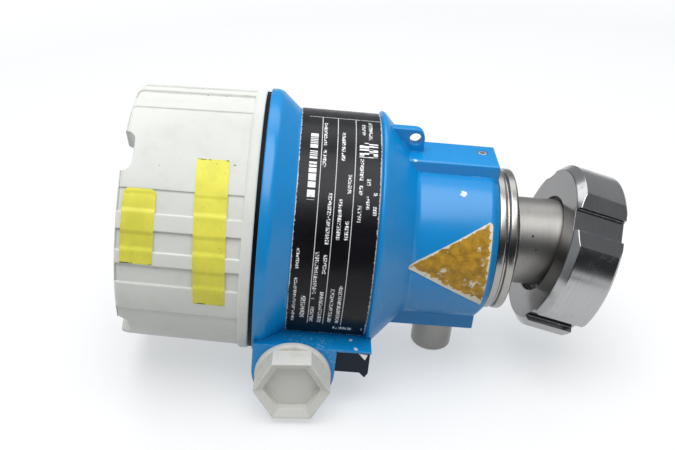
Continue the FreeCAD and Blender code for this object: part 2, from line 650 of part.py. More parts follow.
def cut_housing_spaces(body):
    """Wiring space, stem bore, cable entries and the small screw holes."""
    turned_cut(body, "WiringSpace", box_points(
        -(S.spigot_length + OVERSHOOT), S.cavity_depth, ZERO, CAVITY_RADIUS))
    turned_cut(body, "Passage", box_points(
        S.cavity_depth - OVERSHOOT, S.housing_length, ZERO, S.passage_radius))
    turned_cut(body, "StemBore", box_points(
        S.housing_length - S.stem_length, S.housing_length + OVERSHOOT, ZERO, STEM_BORE))
    entry = sketch_on(body, "EntryCentre", "XZ_Plane")
    circle(entry, S.chin_x, -S.chin_drop, S.entry_radius)
    feature(body, "Pocket", "Entries", entry, Length=CHIN_WIDTH + OVERSHOOT, Midplane=True)
    lug = sketch_on(body, "LugHoleCentre", "XZ_Plane")
    circle(lug, LUG_END - S.lug_hole_inset, LUG_TOP - S.lug_hole_drop, S.lug_hole_radius)
    feature(body, "Pocket", "LugHole", lug, Length=S.lug_thickness + OVERSHOOT, Midplane=True)
    drill(body, "LockHole", "XY_Plane", [(LOCK_X, S.lock_side)], S.lock_radius + S.lock_gap,
          TOP_PAD, TOP_PAD)
    drill(body, "FilterHole", "XY_Plane", [(FILTER_X, ZERO)], S.filter_stub_radius + S.filter_stub_gap,
          -BOTTOM_PAD, BOTTOM_PAD, backwards=True)
    drill(body, "ModuleScrewHoles", "YZ_Plane", [screw_place(turn) for turn in SCREW_TURNS],
          S.module_screw_radius, S.cavity_depth, S.module_screw_bite, backwards=True)
    drill(body, "GroundScrewHole", "YZ_Plane", [(GROUND_MID_Y, GROUND_MID_Z)],
          S.ground_screw_radius + S.ground_screw_hole_gap, CHIN_RIGHT, S.ground_screw_bite)


def make_lid():
    """Screw lid: ribbed grip, raised rim with spanner notches, hollow inside."""
    body = body_at("lid", LID_RIM)
    front = -S.lid_length
    floor = front + S.lid_rim_height
    recess = S.lid_front_radius - S.lid_rim_width
    bore = S.spigot_radius + S.lid_thread_clearance
    turned(body, [
        (ZERO, bore),
        (ZERO, S.lid_band_radius),
        (-S.lid_band_width, S.lid_band_radius),
        (-S.lid_band_width, S.lid_grip_radius),
        (front + S.lid_front_edge, S.lid_front_radius),
        (front, S.lid_front_radius - S.lid_front_edge),
        (front, recess),
        (floor, recess),
        (floor, ZERO),
        (floor + S.lid_wall, ZERO),
        (floor + S.lid_wall, S.lid_inner_radius),
        (-S.lid_thread_depth, S.lid_inner_radius),
        (-S.lid_thread_depth, bore),
    ])
    land = S.land_angle + QUARTER_TURN
    outside = S.lid_band_radius + OVERSHOOT
    cuts = [turned_cut(body, "Land", grip_cut(S.land_depth, outside), S.land_sweep_angle, land)]
    for step in THREE_ABREAST:
        turn = land + S.groove_turn_angle + S.groove_pitch_angle * step
        groove = grip_cut(S.groove_depth, outside)
        cuts.append(turned_cut(body, "Grip%d" % len(cuts), groove, S.groove_angle, turn))
    notch = box_points(front - OVERSHOOT, floor, recess - OVERSHOOT, outside)
    cuts.append(turned_cut(body, "Notch", notch, S.notch_angle, land))
    ring_of(body, cuts, LAND_COUNT)
    return body


def grip_cut(depth, outside):
    """Section of a shallow cut along the lid's grip, as distance along X and radius."""
    past_front = -(S.lid_length + OVERSHOOT)
    return [
        (-S.lid_band_width, S.lid_grip_radius - depth),
        (-S.lid_band_width, outside),
        (past_front, outside),
        (past_front, S.lid_front_radius - depth),
    ]


def make_lid_seal():
    body = body_at("lid_seal", LID_RIM)
    turned(body, box_points(ZERO, S.seal_thickness, S.spigot_radius + S.seal_gap, S.seal_radius))
    return body


def make_nameplate():
    """Curved plate glued to the barrel, from low on the front up over the top."""
    body = body_at("nameplate", SEAL_PLANE)
    inner = S.barrel_radius + S.plate_gap
    start = S.plate_low_angle + QUARTER_TURN - S.plate_sweep
    turned(body, box_points(S.barrel_start + S.plate_side_gap, S.barrel_end - S.plate_side_gap,
                            inner, inner + S.plate_thickness), S.plate_sweep, start)
    return body


def cut_seal_groove(body):
    """Groove for an entry seal, in the face that meets the chin."""
    turned_cut(body, "SealGroove", box_points(
        -OVERSHOOT, S.ring_seal_height + S.ring_seal_gap,
        ENTRY_SEAL_INNER - S.ring_seal_gap, ENTRY_SEAL_OUTER + S.ring_seal_gap))


def make_entry_seal(label, y, turn):
    """Flat ring round a cable entry of the chin."""
    body = body_at(label, SEAL_PLANE + S.chin_x, y, -S.chin_drop, turn)
    turned(body, box_points(S.ring_seal_lift, S.ring_seal_height, ENTRY_SEAL_INNER, ENTRY_SEAL_OUTER))
    return body


def make_blind_plug():
    """Hexagon plug with a round flange, a recessed front and a threaded stub."""
    body = body_at("blind_plug", SEAL_PLANE + S.chin_x, CHIN_FRONT, -S.chin_drop, FACING_FRONT)
    stub = S.entry_radius - S.entry_clearance
    turned(body, [
        (-S.entry_depth, ZERO),
        (-S.entry_depth, stub),
        (ZERO, stub),
        (ZERO, S.plug_flange_radius),
        (S.plug_flange_thickness, S.plug_flange_radius),
        (S.plug_flange_thickness, ZERO),
    ])
    head = sketch_on(body, "HexOutline", "YZ_Plane", S.plug_flange_thickness, SKETCH_NORMAL, S.plug_turn)
    hexagon(head, S.plug_hex)
    feature(body, "Pad", "Hex", head, Length=S.plug_hex_height)
    top = S.plug_flange_thickness + S.plug_hex_height
    recess = sketch_on(body, "RecessOutline", "YZ_Plane", top, SKETCH_NORMAL, S.plug_turn)
    hexagon(recess, S.plug_recess_hex)
    feature(body, "Pocket", "Recess", recess, Length=S.plug_recess_depth)
    cut_seal_groove(body)
    return body


def make_gland_body():
    """Gland body on the far side: threaded stub, hexagon and neck, bored for a cable."""
    body = body_at("gland_body", SEAL_PLANE + S.chin_x, CHIN_BACK, -S.chin_drop, FACING_BACK)
    stub = S.entry_radius - S.entry_clearance
    neck_end = S.gland_hex_height + S.gland_neck_length
    turned(body, box_points(-S.entry_depth, neck_end, S.gland_bore, stub))
    head = sketch_on(body, "HexOutline", "YZ_Plane")
    hexagon(head, GLAND_HEX)
    circle(head, ZERO, ZERO, S.gland_bore)
    feature(body, "Pad", "Hex", head, Length=S.gland_hex_height)
    neck = sketch_on(body, "NeckOutline", "YZ_Plane", S.gland_hex_height)
    circle(neck, ZERO, ZERO, S.gland_neck_radius)
    circle(neck, ZERO, ZERO, S.gland_bore)
    feature(body, "Pad", "Neck", neck, Length=S.gland_neck_length)
    cut_seal_groove(body)
    return body


def make_gland_insert():
    """Rubber sleeve that the clamping nut squeezes onto a cable."""
    neck_end = S.gland_hex_height + S.gland_neck_length
    body = body_at("gland_insert", SEAL_PLANE + S.chin_x, CHIN_BACK + neck_end, -S.chin_drop, FACING_BACK)
    turned(body, box_points(-S.gland_insert_length, ZERO, S.gland_insert_bore,
                            S.gland_bore - S.gland_insert_gap))
    return body


def make_gland_nut():
    """Clamping nut of the gland: a hexagon that ends in a cone."""
    base = S.gland_hex_height + S.gland_nut_gap
    body = body_at("gland_nut", SEAL_PLANE + S.chin_x, CHIN_BACK + base, -S.chin_drop, FACING_BACK)
    bore = S.gland_neck_radius + S.gland_nut_clearance
    head = sketch_on(body, "HexOutline", "YZ_Plane")
    hexagon(head, GLAND_HEX)
    feature(body, "Pad", "Hex", head, Length=S.gland_nut_hex_height)
    dome = sketch_on(body, "DomeProfile", "XY_Plane")
    outline(dome, [
        (S.gland_nut_hex_height, ZERO),
        (S.gland_nut_hex_height, GLAND_HEX / 2),
        (S.gland_nut_length, S.gland_nut_tip),
        (S.gland_nut_length, ZERO),
    ])
    feature(body, "Revolution", "Dome", dome, ReferenceAxis=(dome, ["H_Axis"]), Angle=FULL_TURN)
    turned_cut(body, "Thread", box_points(-OVERSHOOT, S.gland_neck_length, ZERO, bore))
    turned_cut(body, "Mouth", box_points(ZERO, S.gland_nut_length + OVERSHOOT, ZERO, S.gland_bore))
    return body


def make_ground_block():
    """Dark terminal block that hangs under the ledge beside the chin."""
    body = body_at("ground_block", SEAL_PLANE + CHIN_RIGHT, GROUND_MID_Y, GROUND_TOP)
    slab(body, "Block", "XZ_Plane", box_points(ZERO, S.ground_width, -S.ground_height, ZERO), S.ground_depth)
    slab(body, "Lip", "XZ_Plane", [
        (S.ground_width - S.ground_tooth_width, -S.ground_height / 2),
        (S.ground_width - S.ground_tooth_width, -S.ground_height),
        (S.ground_width - S.ground_tooth_tip, -(S.ground_height + S.ground_tooth)),
        (S.ground_width, -S.ground_height),
        (S.ground_width, -S.ground_height / 2),
    ], S.ground_depth)
    drill(body, "ScrewHole", "YZ_Plane", [(ZERO, -S.ground_height / 2)],
          S.ground_screw_radius + S.ground_screw_hole_gap, S.ground_width, S.ground_width)
    drill(body, "HeadHole", "YZ_Plane", [(ZERO, -S.ground_height / 2)],
          S.ground_head_radius + S.ground_head_gap, S.ground_width, S.ground_head_sink)
    return body


def make_ground_clamp():
    """Square clamp plate under the head of the ground screw, sunk in the block."""
    body = body_at("ground_clamp", SEAL_PLANE + GROUND_SEAT, GROUND_MID_Y, GROUND_MID_Z)
    half = S.clamp_side / 2
    plate = sketch_on(body, "PlateOutline", "YZ_Plane")
    outline(plate, box_points(-half, half, -half, half))
    circle(plate, ZERO, ZERO, S.ground_screw_radius + S.ground_screw_hole_gap)
    feature(body, "Pad", "Plate", plate, Length=S.clamp_thickness)
    return body


def make_ground_screw():
    """Slotted screw of the ground terminal, threaded into the chin."""
    head_seat = GROUND_SEAT + S.clamp_thickness
    body = body_at("ground_screw", SEAL_PLANE + head_seat, GROUND_MID_Y, GROUND_MID_Z)
    tip = CHIN_RIGHT - head_seat - S.ground_screw_bite + S.ground_screw_hole_gap
    turned(body, [
        (tip, ZERO),
        (tip, S.ground_screw_radius),
        (ZERO, S.ground_screw_radius),
        (ZERO, S.ground_head_radius),
        (S.ground_head_height, S.ground_head_radius),
        (S.ground_head_height, ZERO),
    ])
    slot = sketch_on(body, "SlotOutline", "YZ_Plane", S.ground_head_height)
    half = S.ground_slot_width / 2
    outline(slot, box_points(-S.ground_head_radius * 2, S.ground_head_radius * 2, -half, half))
    feature(body, "Pocket", "Slot", slot, Length=S.ground_slot_depth)
    return body


def filter_body_at(label, depth=ZERO):
    """A body built downwards from the bottom pad, on the filter's axis."""
    return body_at(label, SEAL_PLANE + FILTER_X, ZERO, -(BOTTOM_PAD + depth), FACING_DOWN)


def make_vent_cap():
    """Steel filter cap under the neck, with a stub in the pad and a blind vent bore."""
    body = filter_body_at("vent_cap")
    seal_outer = S.filter_stub_radius + S.filter_seal_width + S.filter_seal_gap
    turned(body, [
        (-S.filter_stub_length, S.filter_bore),
        (-S.filter_stub_length, S.filter_stub_radius),
        (S.filter_seal_height, S.filter_stub_radius),
        (S.filter_seal_height, seal_outer),
        (ZERO, seal_outer),
        (ZERO, S.filter_radius),
        (S.filter_length - S.filter_edge, S.filter_radius),
        (S.filter_length, S.filter_radius - S.filter_edge),
        (S.filter_length, ZERO),
        (S.filter_length - S.filter_wall, ZERO),
        (S.filter_length - S.filter_wall, S.filter_bore),
    ])
    return body


def make_vent_seal():
    body = filter_body_at("vent_seal")
    inner = S.filter_stub_radius + S.filter_seal_gap
    turned(body, box_points(ZERO, S.filter_seal_height, inner, S.filter_stub_radius + S.filter_seal_width))
    return body


def make_vent_membrane():
    """Porous disc at the bottom of the vent bore."""
    body = filter_body_at("vent_membrane", S.filter_length - S.filter_wall)
    turned(body, box_points(-S.membrane_thickness, ZERO, ZERO, S.filter_bore - S.membrane_gap))
    return body


def make_lock_screw():
    """Set screw that reaches into the groove of the stem and holds it in the neck."""
    top = TOP_PAD - S.lock_sink
    body = body_at("lock_screw", SEAL_PLANE + LOCK_X, S.lock_side, top, FACING_UP)
    length = top - (S.stem_radius - S.lock_groove_depth) - S.lock_tip_gap
    turned(body, box_points(-length, ZERO, ZERO, S.lock_radius))
    socket = sketch_on(body, "SocketOutline", "YZ_Plane")
    hexagon(socket, S.lock_socket)
    feature(body, "Pocket", "Socket", socket, Length=S.lock_socket_depth)
    return body


def make_electronics_module():
    """Potted electronics module on the floor of the wiring space."""
    body = body_at("electronics_module", MODULE_FRONT)
    turned(body, [
        (ZERO, ZERO),
        (ZERO, S.module_radius - S.module_edge),
        (S.module_edge, S.module_radius),
        (S.module_length, S.module_radius),
        (S.module_length, ZERO),
    ])
    drill(body, "ScrewHoles", "YZ_Plane", [screw_place(turn) for turn in SCREW_TURNS],
          S.module_screw_radius + S.module_screw_gap, S.module_length, S.module_length)
    return body


def make_module_screws():
    """Three screws that hold the module, as one group of separate solids."""
    screws = []
    for turn in SCREW_TURNS:
        y, z = screw_place(turn)
        shank = doc.addObject("Part::Cylinder", "ScrewShank")
        head = doc.addObject("Part::Cylinder", "ScrewHead")
        place_cylinder(shank, MODULE_FRONT, y, z, S.module_screw_radius - S.module_thread_gap,
                       S.module_length + S.module_screw_bite - S.module_screw_gap)
        place_cylinder(head, MODULE_FRONT - S.module_head_height, y, z, S.module_head_radius,
                       S.module_head_height)
        screw = doc.addObject("Part::Fuse", "ModuleScrew")
        screw.Base = shank
        screw.Tool = head
        screws.append(screw)
    return group_of("module_screws", screws)


def place_cylinder(item, x, y, z, radius, length):
    """Lays a cylinder along +X from the given place."""
    item.Placement.Rotation = ALONG_X
    for axis, size in zip("xyz", (x, y, z)):
        bind(item, "Placement.Base.%s" % axis, size)
    bind(item, "Radius", radius)
    bind(item, "Height", length)


def group_of(label, pieces):
    group = doc.addObject("Part::Compound", label)
    group.Label = label
    group.Links = pieces
    doc.recompute()
    return group


def make_terminal_block():
    """Terminal block in front of the module, with screw holes and wire holes."""
    body = body_at("terminal_block", MODULE_FRONT)
    half_width, half_depth = S.terminal_width / 2, S.terminal_depth / 2
    front = sketch_on(body, "BlockOutline", "YZ_Plane")
    outline(front, box_points(-half_width, half_width, -half_depth, half_depth))
    feature(body, "Pad", "Block", front, Length=S.terminal_height, Reversed=True)
    depth = S.terminal_screw_depth + S.terminal_screw_gap
    drill(body, "ScrewHoles", "YZ_Plane", [(S.terminal_pitch * step, ZERO) for step in THREE_ABREAST],
          S.terminal_screw_radius + S.terminal_screw_gap, -S.terminal_height, depth, backwards=True)
    drill(body, "WireHoles", "XY_Plane",
          [(-S.terminal_height / 2, S.terminal_pitch * step) for step in THREE_ABREAST],
          S.wire_hole, -half_depth, S.wire_hole_depth, backwards=True)
    return body


def make_terminal_screws():
    """Terminal screws, as one group of separate solids."""
    screws = []
    start = MODULE_FRONT - S.terminal_height - S.terminal_screw_proud
    length = S.terminal_screw_proud + S.terminal_screw_depth
    for step in THREE_ABREAST:
        screw = doc.addObject("Part::Cylinder", "TerminalScrew")
        place_cylinder(screw, start, S.terminal_pitch * step, ZERO, S.terminal_screw_radius, length)
        screws.append(screw)
    return group_of("terminal_screws", screws)


def make_sensor_lead():
    """Short lead from the module's back to the plug on the measuring cell."""
    body = body_at("sensor_lead", MODULE_BACK)
    turned(body, box_points(ZERO, PLUG_TOP - MODULE_BACK, ZERO, S.lead_radius))
    return body


def make_sensor_plug():
    """Round plug on the measuring cell."""
    body = body_at("sensor_plug", PLUG_TOP)
    turned(body, box_points(ZERO, S.sensor_plug_length, ZERO, S.sensor_plug_radius))
    return body


def make_measuring_cell():
    """Sealed measuring cell at the bottom of the stem."""
    body = body_at("measuring_cell", CELL_SEAT)
    turned(body, box_points(-S.cell_length, ZERO, ZERO, S.cell_radius))
    return body


def make_sensor_body():
    """Turned stem with O-ring grooves, two rings and a shoulder, bored for the cell."""
    body = body_at("sensor_body", NECK_END)
    first_end, second_start = S.ring_width, S.ring_width + S.ring_gap
    shoulder_end = RINGS_LENGTH + S.shoulder_length
    turned(body, [
        (-S.stem_length + S.lock_tip_gap, ZERO),
        (-S.stem_length + S.lock_tip_gap, S.stem_radius),
        (ZERO, S.stem_radius),
        (ZERO, S.ring_radius - S.ring_edge),
        (S.ring_edge, S.ring_radius),
        (first_end - S.ring_edge, S.ring_radius),
        (first_end, S.ring_radius - S.ring_edge),
        (first_end, S.ring_radius - S.ring_groove_depth),
        (second_start, S.ring_radius - S.ring_groove_depth),
        (second_start, S.ring_radius - S.ring_edge),
        (second_start + S.ring_edge, S.ring_radius),
        (RINGS_LENGTH - S.ring_edge, S.ring_radius),
        (RINGS_LENGTH, S.ring_radius - S.ring_edge),
        (RINGS_LENGTH, S.shoulder_radius),
        (shoulder_end, S.tube_radius),
        (shoulder_end, ZERO),
    ])
    bore = S.cell_radius + S.cell_gap
    turned_cut(body, "CellBore", box_points(-(S.stem_length + OVERSHOOT), -S.cell_floor, ZERO, bore))
    turned_cut(body, "Capillary", box_points(
        -(S.cell_floor + OVERSHOOT), shoulder_end + OVERSHOOT, ZERO, S.capillary_radius))
    wire = (S.o_ring_wire + S.o_ring_squeeze_gap) * 2
    cut_stem_groove(body, "FirstGroove", S.o_ring_first, wire, wire)
    cut_stem_groove(body, "SecondGroove", S.o_ring_second, wire, wire)
    cut_stem_groove(body, "LockGroove", S.lock_from_end, S.lock_groove_width, S.lock_groove_depth)
    cut_stem_groove(body, "VentGroove", S.filter_from_end, S.vent_groove_width, S.vent_groove_depth)
    drill(body, "VentHole", "XY_Plane", [(-S.filter_from_end, ZERO)], S.vent_hole_radius,
          -S.stem_radius, S.stem_radius, backwards=True)
    return body


def cut_stem_groove(body, name, place, width, depth):
    """A groove round the stem, its middle at a distance from the neck end."""
    turned_cut(body, name, box_points(
        -place - width / 2, -place + width / 2, S.stem_radius - depth, S.stem_radius + OVERSHOOT))


def make_o_ring(label, place):
    """O-ring in one of the stem's grooves."""
    ring = doc.addObject("Part::Torus", label)
    ring.Label = label
    ring.Placement.Rotation = ALONG_X
    bind(ring, "Placement.Base.x", NECK_END - place)
    bind(ring, "Radius1", S.stem_radius - S.o_ring_wire - S.o_ring_squeeze_gap)
    bind(ring, "Radius2", S.o_ring_wire)
    doc.recompute()
    return ring


def make_process_liner():
    """Tube with a collar and sealing cone; the diaphragm lies flush in its end."""
    body = body_at("process_liner")
    tip = S.collar_radius - S.liner_cone_length * tangent(S.liner_cone_angle)
    turned(body, [
        (SENSOR_FACE, S.capillary_radius),
        (SENSOR_FACE, S.tube_radius),
        (COLLAR_BACK, S.tube_radius),
        (COLLAR_BACK, S.collar_radius),
        (-S.liner_cone_length, S.collar_radius),
        (ZERO, tip),
        (ZERO, S.diaphragm_radius + S.diaphragm_gap),
        (-S.diaphragm_thickness, S.diaphragm_radius + S.diaphragm_gap),
        (-S.diaphragm_thickness, S.capillary_radius),
    ])
    return body


def make_diaphragm():
    """Thin isolating diaphragm, flush with the liner's end."""
    body = body_at("isolating_diaphragm", -S.diaphragm_thickness)
    turned(body, box_points(ZERO, S.diaphragm_thickness, ZERO, S.diaphragm_radius))
    return body


def make_union_nut():
    """Slotted union nut that hangs loose and tilted on the liner."""
    tilt = FreeCAD.Rotation(FreeCAD.Vector(0, 1, 0), S.nut_droop.value)
    body = body_at("union_nut", -S.nut_setback, ZERO, -S.nut_drop, tilt)
    bind(body, "Placement.Rotation.Angle", S.nut_droop)
    turned(body, [
        (ZERO, S.nut_web_bore),
        (ZERO, S.nut_radius - S.nut_face_chamfer),
        (S.nut_face_chamfer, S.nut_radius),
        (S.nut_length - S.nut_back_chamfer, S.nut_radius),
        (S.nut_length, S.nut_radius - S.nut_back_chamfer),
        (S.nut_length, S.nut_thread_radius),
        (S.nut_web, S.nut_thread_radius),
        (S.nut_web, S.nut_web_bore),
    ])
    half = S.nut_slot_width / 2
    floor = S.nut_radius - S.nut_slot_depth
    slot = sketch_on(body, "SlotOutline", "YZ_Plane", ZERO, SKETCH_NORMAL, S.nut_slot_angle)
    outline(slot, box_points(-half, half, floor, S.nut_radius + OVERSHOOT))
    cut = feature(body, "Pocket", "Slot", slot, Length=S.nut_length, Reversed=True)
    flat = sketch_on(body, "FlatOutline", "YZ_Plane", ZERO, SKETCH_NORMAL, S.nut_slot_angle)
    outline(flat, box_points(-S.nut_radius / 2, S.nut_radius / 2, S.nut_radius - S.nut_flat_depth,
                             S.nut_radius + OVERSHOOT))
    level = feature(body, "Pocket", "Flat", flat, Length=S.nut_length, Reversed=True)
    ring_of(body, [cut, level], SLOT_COUNT)
    return body


PIECES = [
    make_housing(),
    make_lid(),
    make_lid_seal(),
    make_nameplate(),
    make_blind_plug(),
    make_entry_seal("blind_plug_seal", CHIN_FRONT, FACING_FRONT),
    make_gland_body(),
    make_entry_seal("gland_seal", CHIN_BACK, FACING_BACK),
    make_gland_insert(),
    make_gland_nut(),
    make_ground_block(),
    make_ground_clamp(),
    make_ground_screw(),
    make_vent_cap(),
    make_vent_seal(),
    make_vent_membrane(),
    make_lock_screw(),
    make_electronics_module(),
    make_module_screws(),
    make_terminal_block(),
    make_terminal_screws(),
    make_sensor_lead(),
    make_sensor_plug(),
    make_measuring_cell(),
    make_sensor_body(),
    make_o_ring("first_o_ring", S.o_ring_first),
    make_o_ring("second_o_ring", S.o_ring_second),
    make_process_liner(),
    make_diaphragm(),
    make_union_nut(),
]
doc.recompute()

for item in doc.Objects:
    if {"Invalid", "Error"} & set(item.State):
        raise RuntimeError("%s did not build" % item.Label)
for piece in PIECES:
    if piece.Shape.isNull() or not piece.Shape.isValid():
        raise RuntimeError("%s has no valid shape" % piece.Label)

os.makedirs("parts", exist_ok=True)
for piece in PIECES:
    piece.Shape.exportStep("parts/%s.step" % piece.Label)
    solids = len(piece.Shape.Solids)
    print("%-22s %d solids %10.1f mm3" % (piece.Label, solids, piece.Shape.Volume))
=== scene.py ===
"""Pressure transmitter with a screw lid, a cable chin and a union nut, dressed for a studio view."""

import math

import bmesh
import bpy
from bpy.props import FloatProperty, FloatVectorProperty, PointerProperty
from mathutils import Matrix, Vector


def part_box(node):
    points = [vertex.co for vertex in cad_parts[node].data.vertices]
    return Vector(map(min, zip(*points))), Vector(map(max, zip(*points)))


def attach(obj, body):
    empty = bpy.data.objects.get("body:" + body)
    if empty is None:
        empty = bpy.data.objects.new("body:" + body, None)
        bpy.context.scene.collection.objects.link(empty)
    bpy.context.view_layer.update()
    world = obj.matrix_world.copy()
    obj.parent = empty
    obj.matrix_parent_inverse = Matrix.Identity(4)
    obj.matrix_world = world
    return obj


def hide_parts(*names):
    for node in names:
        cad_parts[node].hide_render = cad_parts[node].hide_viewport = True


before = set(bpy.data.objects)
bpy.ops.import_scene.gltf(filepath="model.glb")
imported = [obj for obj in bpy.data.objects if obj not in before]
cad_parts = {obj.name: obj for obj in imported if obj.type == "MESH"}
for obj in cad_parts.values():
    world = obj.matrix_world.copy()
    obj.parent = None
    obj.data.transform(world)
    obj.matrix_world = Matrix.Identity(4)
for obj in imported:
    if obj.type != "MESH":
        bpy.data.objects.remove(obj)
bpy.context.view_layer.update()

bl_info = {
    "name": "Pressure transmitter",
    "version": (1, 0, 0),
    "blender": (4, 5, 0),
    "location": "View3D > Sidebar > Transmitter",
    "description": "Models the pieces of a pressure transmitter and the studio it lies in",
    "category": "Object",
}

MM = 0.001
TINY = 0.002 * MM
QUARTER_TURN = 90.0
QUARTER = math.radians(QUARTER_TURN)

LID_FRONT, LID_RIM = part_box("lid")[0][0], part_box("lid")[1][0]
SEAL_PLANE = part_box("lid_seal")[1][0]
NECK_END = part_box("housing")[1][0]
SENSOR_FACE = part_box("process_liner")[0][0]
CHIN_X = -125.0 * MM
CHIN_Z = -42.5 * MM
VENT_X = -64.8 * MM
RIDGE_END = SEAL_PLANE + 46.3 * MM
TAG_PLACE = (-83.8 * MM, 0, 42.5 * MM)
LOCK_PLACE = (NECK_END - 6.3 * MM, 3.0 * MM, 38.0 * MM)
NUT_PLACE = (-25.0 * MM, 0, -0.6 * MM)
TABLE_HEIGHT = -58.95 * MM
STAND_RISE = 4.6 * MM
STAND_SPAN = 67.2 * MM
SPIGOT_END = SEAL_PLANE - 13.0 * MM
# How far a cutting tool reaches past the piece it cuts.
OVERCUT = 3.0 * MM
CLEARANCE = 0.06 * MM
FILM_GAP = 0.05 * MM
STICKER_GAP = 0.04 * MM


def length(name, description, millimetres):
    """A length that a user may change, kept in metres."""
    return FloatProperty(name=name, description=description, default=millimetres * MM,
                         unit="LENGTH", precision=5)


def angle(name, description, degrees):
    """An angle that a user may change, kept in radians."""
    return FloatProperty(name=name, description=description, default=math.radians(degrees),
                         subtype="ANGLE")


def colour(name, description, red, green, blue):
    """A colour that a user may change, in linear light."""
    return FloatVectorProperty(name=name, description=description, default=(red, green, blue),
                               subtype="COLOR", min=0.0, max=1.0)


class LidSizes(bpy.types.PropertyGroup):
    """Sizes of the screw lid."""
    band_radius: length("Band radius", "Radius of the plain band next to the seal", 53.2)
    band_width: length("Band width", "Width of the plain band", 3.5)
    grip_radius: length("Grip radius", "Radius of the ribbed grip at the band", 52.6)
    front_radius: length("Front radius", "Radius of the ribbed grip at the front", 51.3)
    rim_width: length("Rim width", "Width of the raised rim on the front", 13.0)
    rim_height: length("Rim height", "Height of the raised rim", 5.0)
    thread_radius: length("Thread radius", "Radius of the lid's threaded mouth", 46.08)
    inner_radius: length("Inner radius", "Radius of the hollow behind the thread", 46.8)
    land_depth: length("Land depth", "Depth of the broad lands below the ribs", 0.5)
    groove_depth: length("Groove depth", "Depth of the grip grooves below the ribs", 1.1)
    notch_width: length("Notch width", "Width of the spanner notches in the rim", 16.5)
    notch_depth: length("Notch depth", "Depth of the spanner notches", 4.2)
    notch_corner: length("Notch corner", "Rounding at the bottom of a spanner notch", 4.2)
    land_angle: angle("Land angle", "Middle of the first land from the top", 36.5)


class HousingSizes(bpy.types.PropertyGroup):
    """Sizes of the cast housing, counted from the seal plane and the axis."""
    flange_radius: length("Flange radius", "Radius of the lid flange", 54.0)
    barrel_radius: length("Barrel radius", "Radius of the barrel under the nameplate", 46.8)
    ridge_radius: length("Ridge radius", "Radius of the ridge behind the nameplate", 48.6)
    cone_length: length("Cone length", "Length of the cone between ridge and neck", 13.9)
    neck_radius: length("Neck radius", "Radius of the neck", 33.5)
    cavity_radius: length("Cavity radius", "Radius of the wiring space", 41.5)
    spigot_radius: length("Spigot radius", "Radius of the threaded spigot", 46.0)
    chin_radius: length("Chin radius", "Radius of the cable chin", 16.4)
    chin_reach: length("Chin reach", "Half the length of the cable chin", 47.43)
    chin_top: length("Chin top", "Flat top of the chin below the axis", 29.5)
    top_pad_width: length("Top pad width", "Width of the upper flat pad on the neck", 19.8)
    bottom_pad_width: length("Bottom pad width", "Width of the lower flat pad on the neck", 21.6)
    top_pad: length("Top pad", "Height of the upper pad above the axis", 37.0)
    bottom_pad: length("Bottom pad", "Depth of the lower pad below the axis", 39.7)
    lug_top: length("Lug top", "Height of the tag lug above the axis", 46.6)
    lug_thickness: length("Lug thickness", "Thickness of the tag lug", 4.0)
    lug_hole: length("Lug hole", "Radius of the hole in the tag lug", 2.45)
    entry_radius: length("Entry radius", "Radius of the cable entries", 9.25)


class FittingSizes(bpy.types.PropertyGroup):
    """Sizes of the plug, the vent cap, the plate and the stickers."""
    plug_flange: length("Plug flange", "Radius of the blind plug's flange", 15.1)
    plug_hexagon: length("Plug hexagon", "Blind plug's hexagon across flats", 25.9)
    plug_height: length("Plug height", "Height of the blind plug's hexagon", 9.0)
    plug_turn: angle("Plug turn", "How far the plug's hexagon is turned", 4.0)
    vent_radius: length("Vent radius", "Radius of the vent cap", 8.7)
    vent_length: length("Vent length", "Length of the vent cap below the pad", 14.6)
    plate_thickness: length("Plate thickness", "Thickness of the nameplate", 0.5)
    film_thickness: length("Film thickness", "Thickness of the tapes and the sticker", 0.14)


class ConnectionSizes(bpy.types.PropertyGroup):
    """Sizes of the sensor neck, the liner and the union nut."""
    ring_radius: length("Ring radius", "Radius of the two rings", 29.3)
    ring_width: length("Ring width", "Width of one ring", 3.6)
    ring_gap: length("Ring gap", "Gap between the rings", 0.8)
    shoulder_radius: length("Shoulder radius", "Radius where the shoulder starts", 26.5)
    stem_radius: length("Stem radius", "Radius of the stem inside the neck", 22.0)
    tube_radius: length("Tube radius", "Radius of the liner's tube", 18.1)
    collar_radius: length("Collar radius", "Radius of the liner's collar", 24.0)
    nut_radius: length("Nut radius", "Outer radius of the union nut", 35.0)
    nut_length: length("Nut length", "Length of the union nut", 21.0)
    web_thickness: length("Web thickness", "Thickness of the nut's web", 4.5)
    web_bore: length("Web bore", "Radius of the hole in the nut's web", 20.6)
    thread_radius: length("Thread radius", "Radius of the nut's thread crests", 27.1)
    slot_width: length("Slot width", "Width of the spanner slots", 9.6)
    slot_depth: length("Slot depth", "Depth of the spanner slots", 4.0)
    flat_depth: length("Flat depth", "Depth of the flats on both sides of a slot", 1.9)
    slot_angle: angle("Slot angle", "First spanner slot from the top", 41.0)
    nut_tilt: angle("Nut tilt", "How far the loose nut tips over", 13.5)


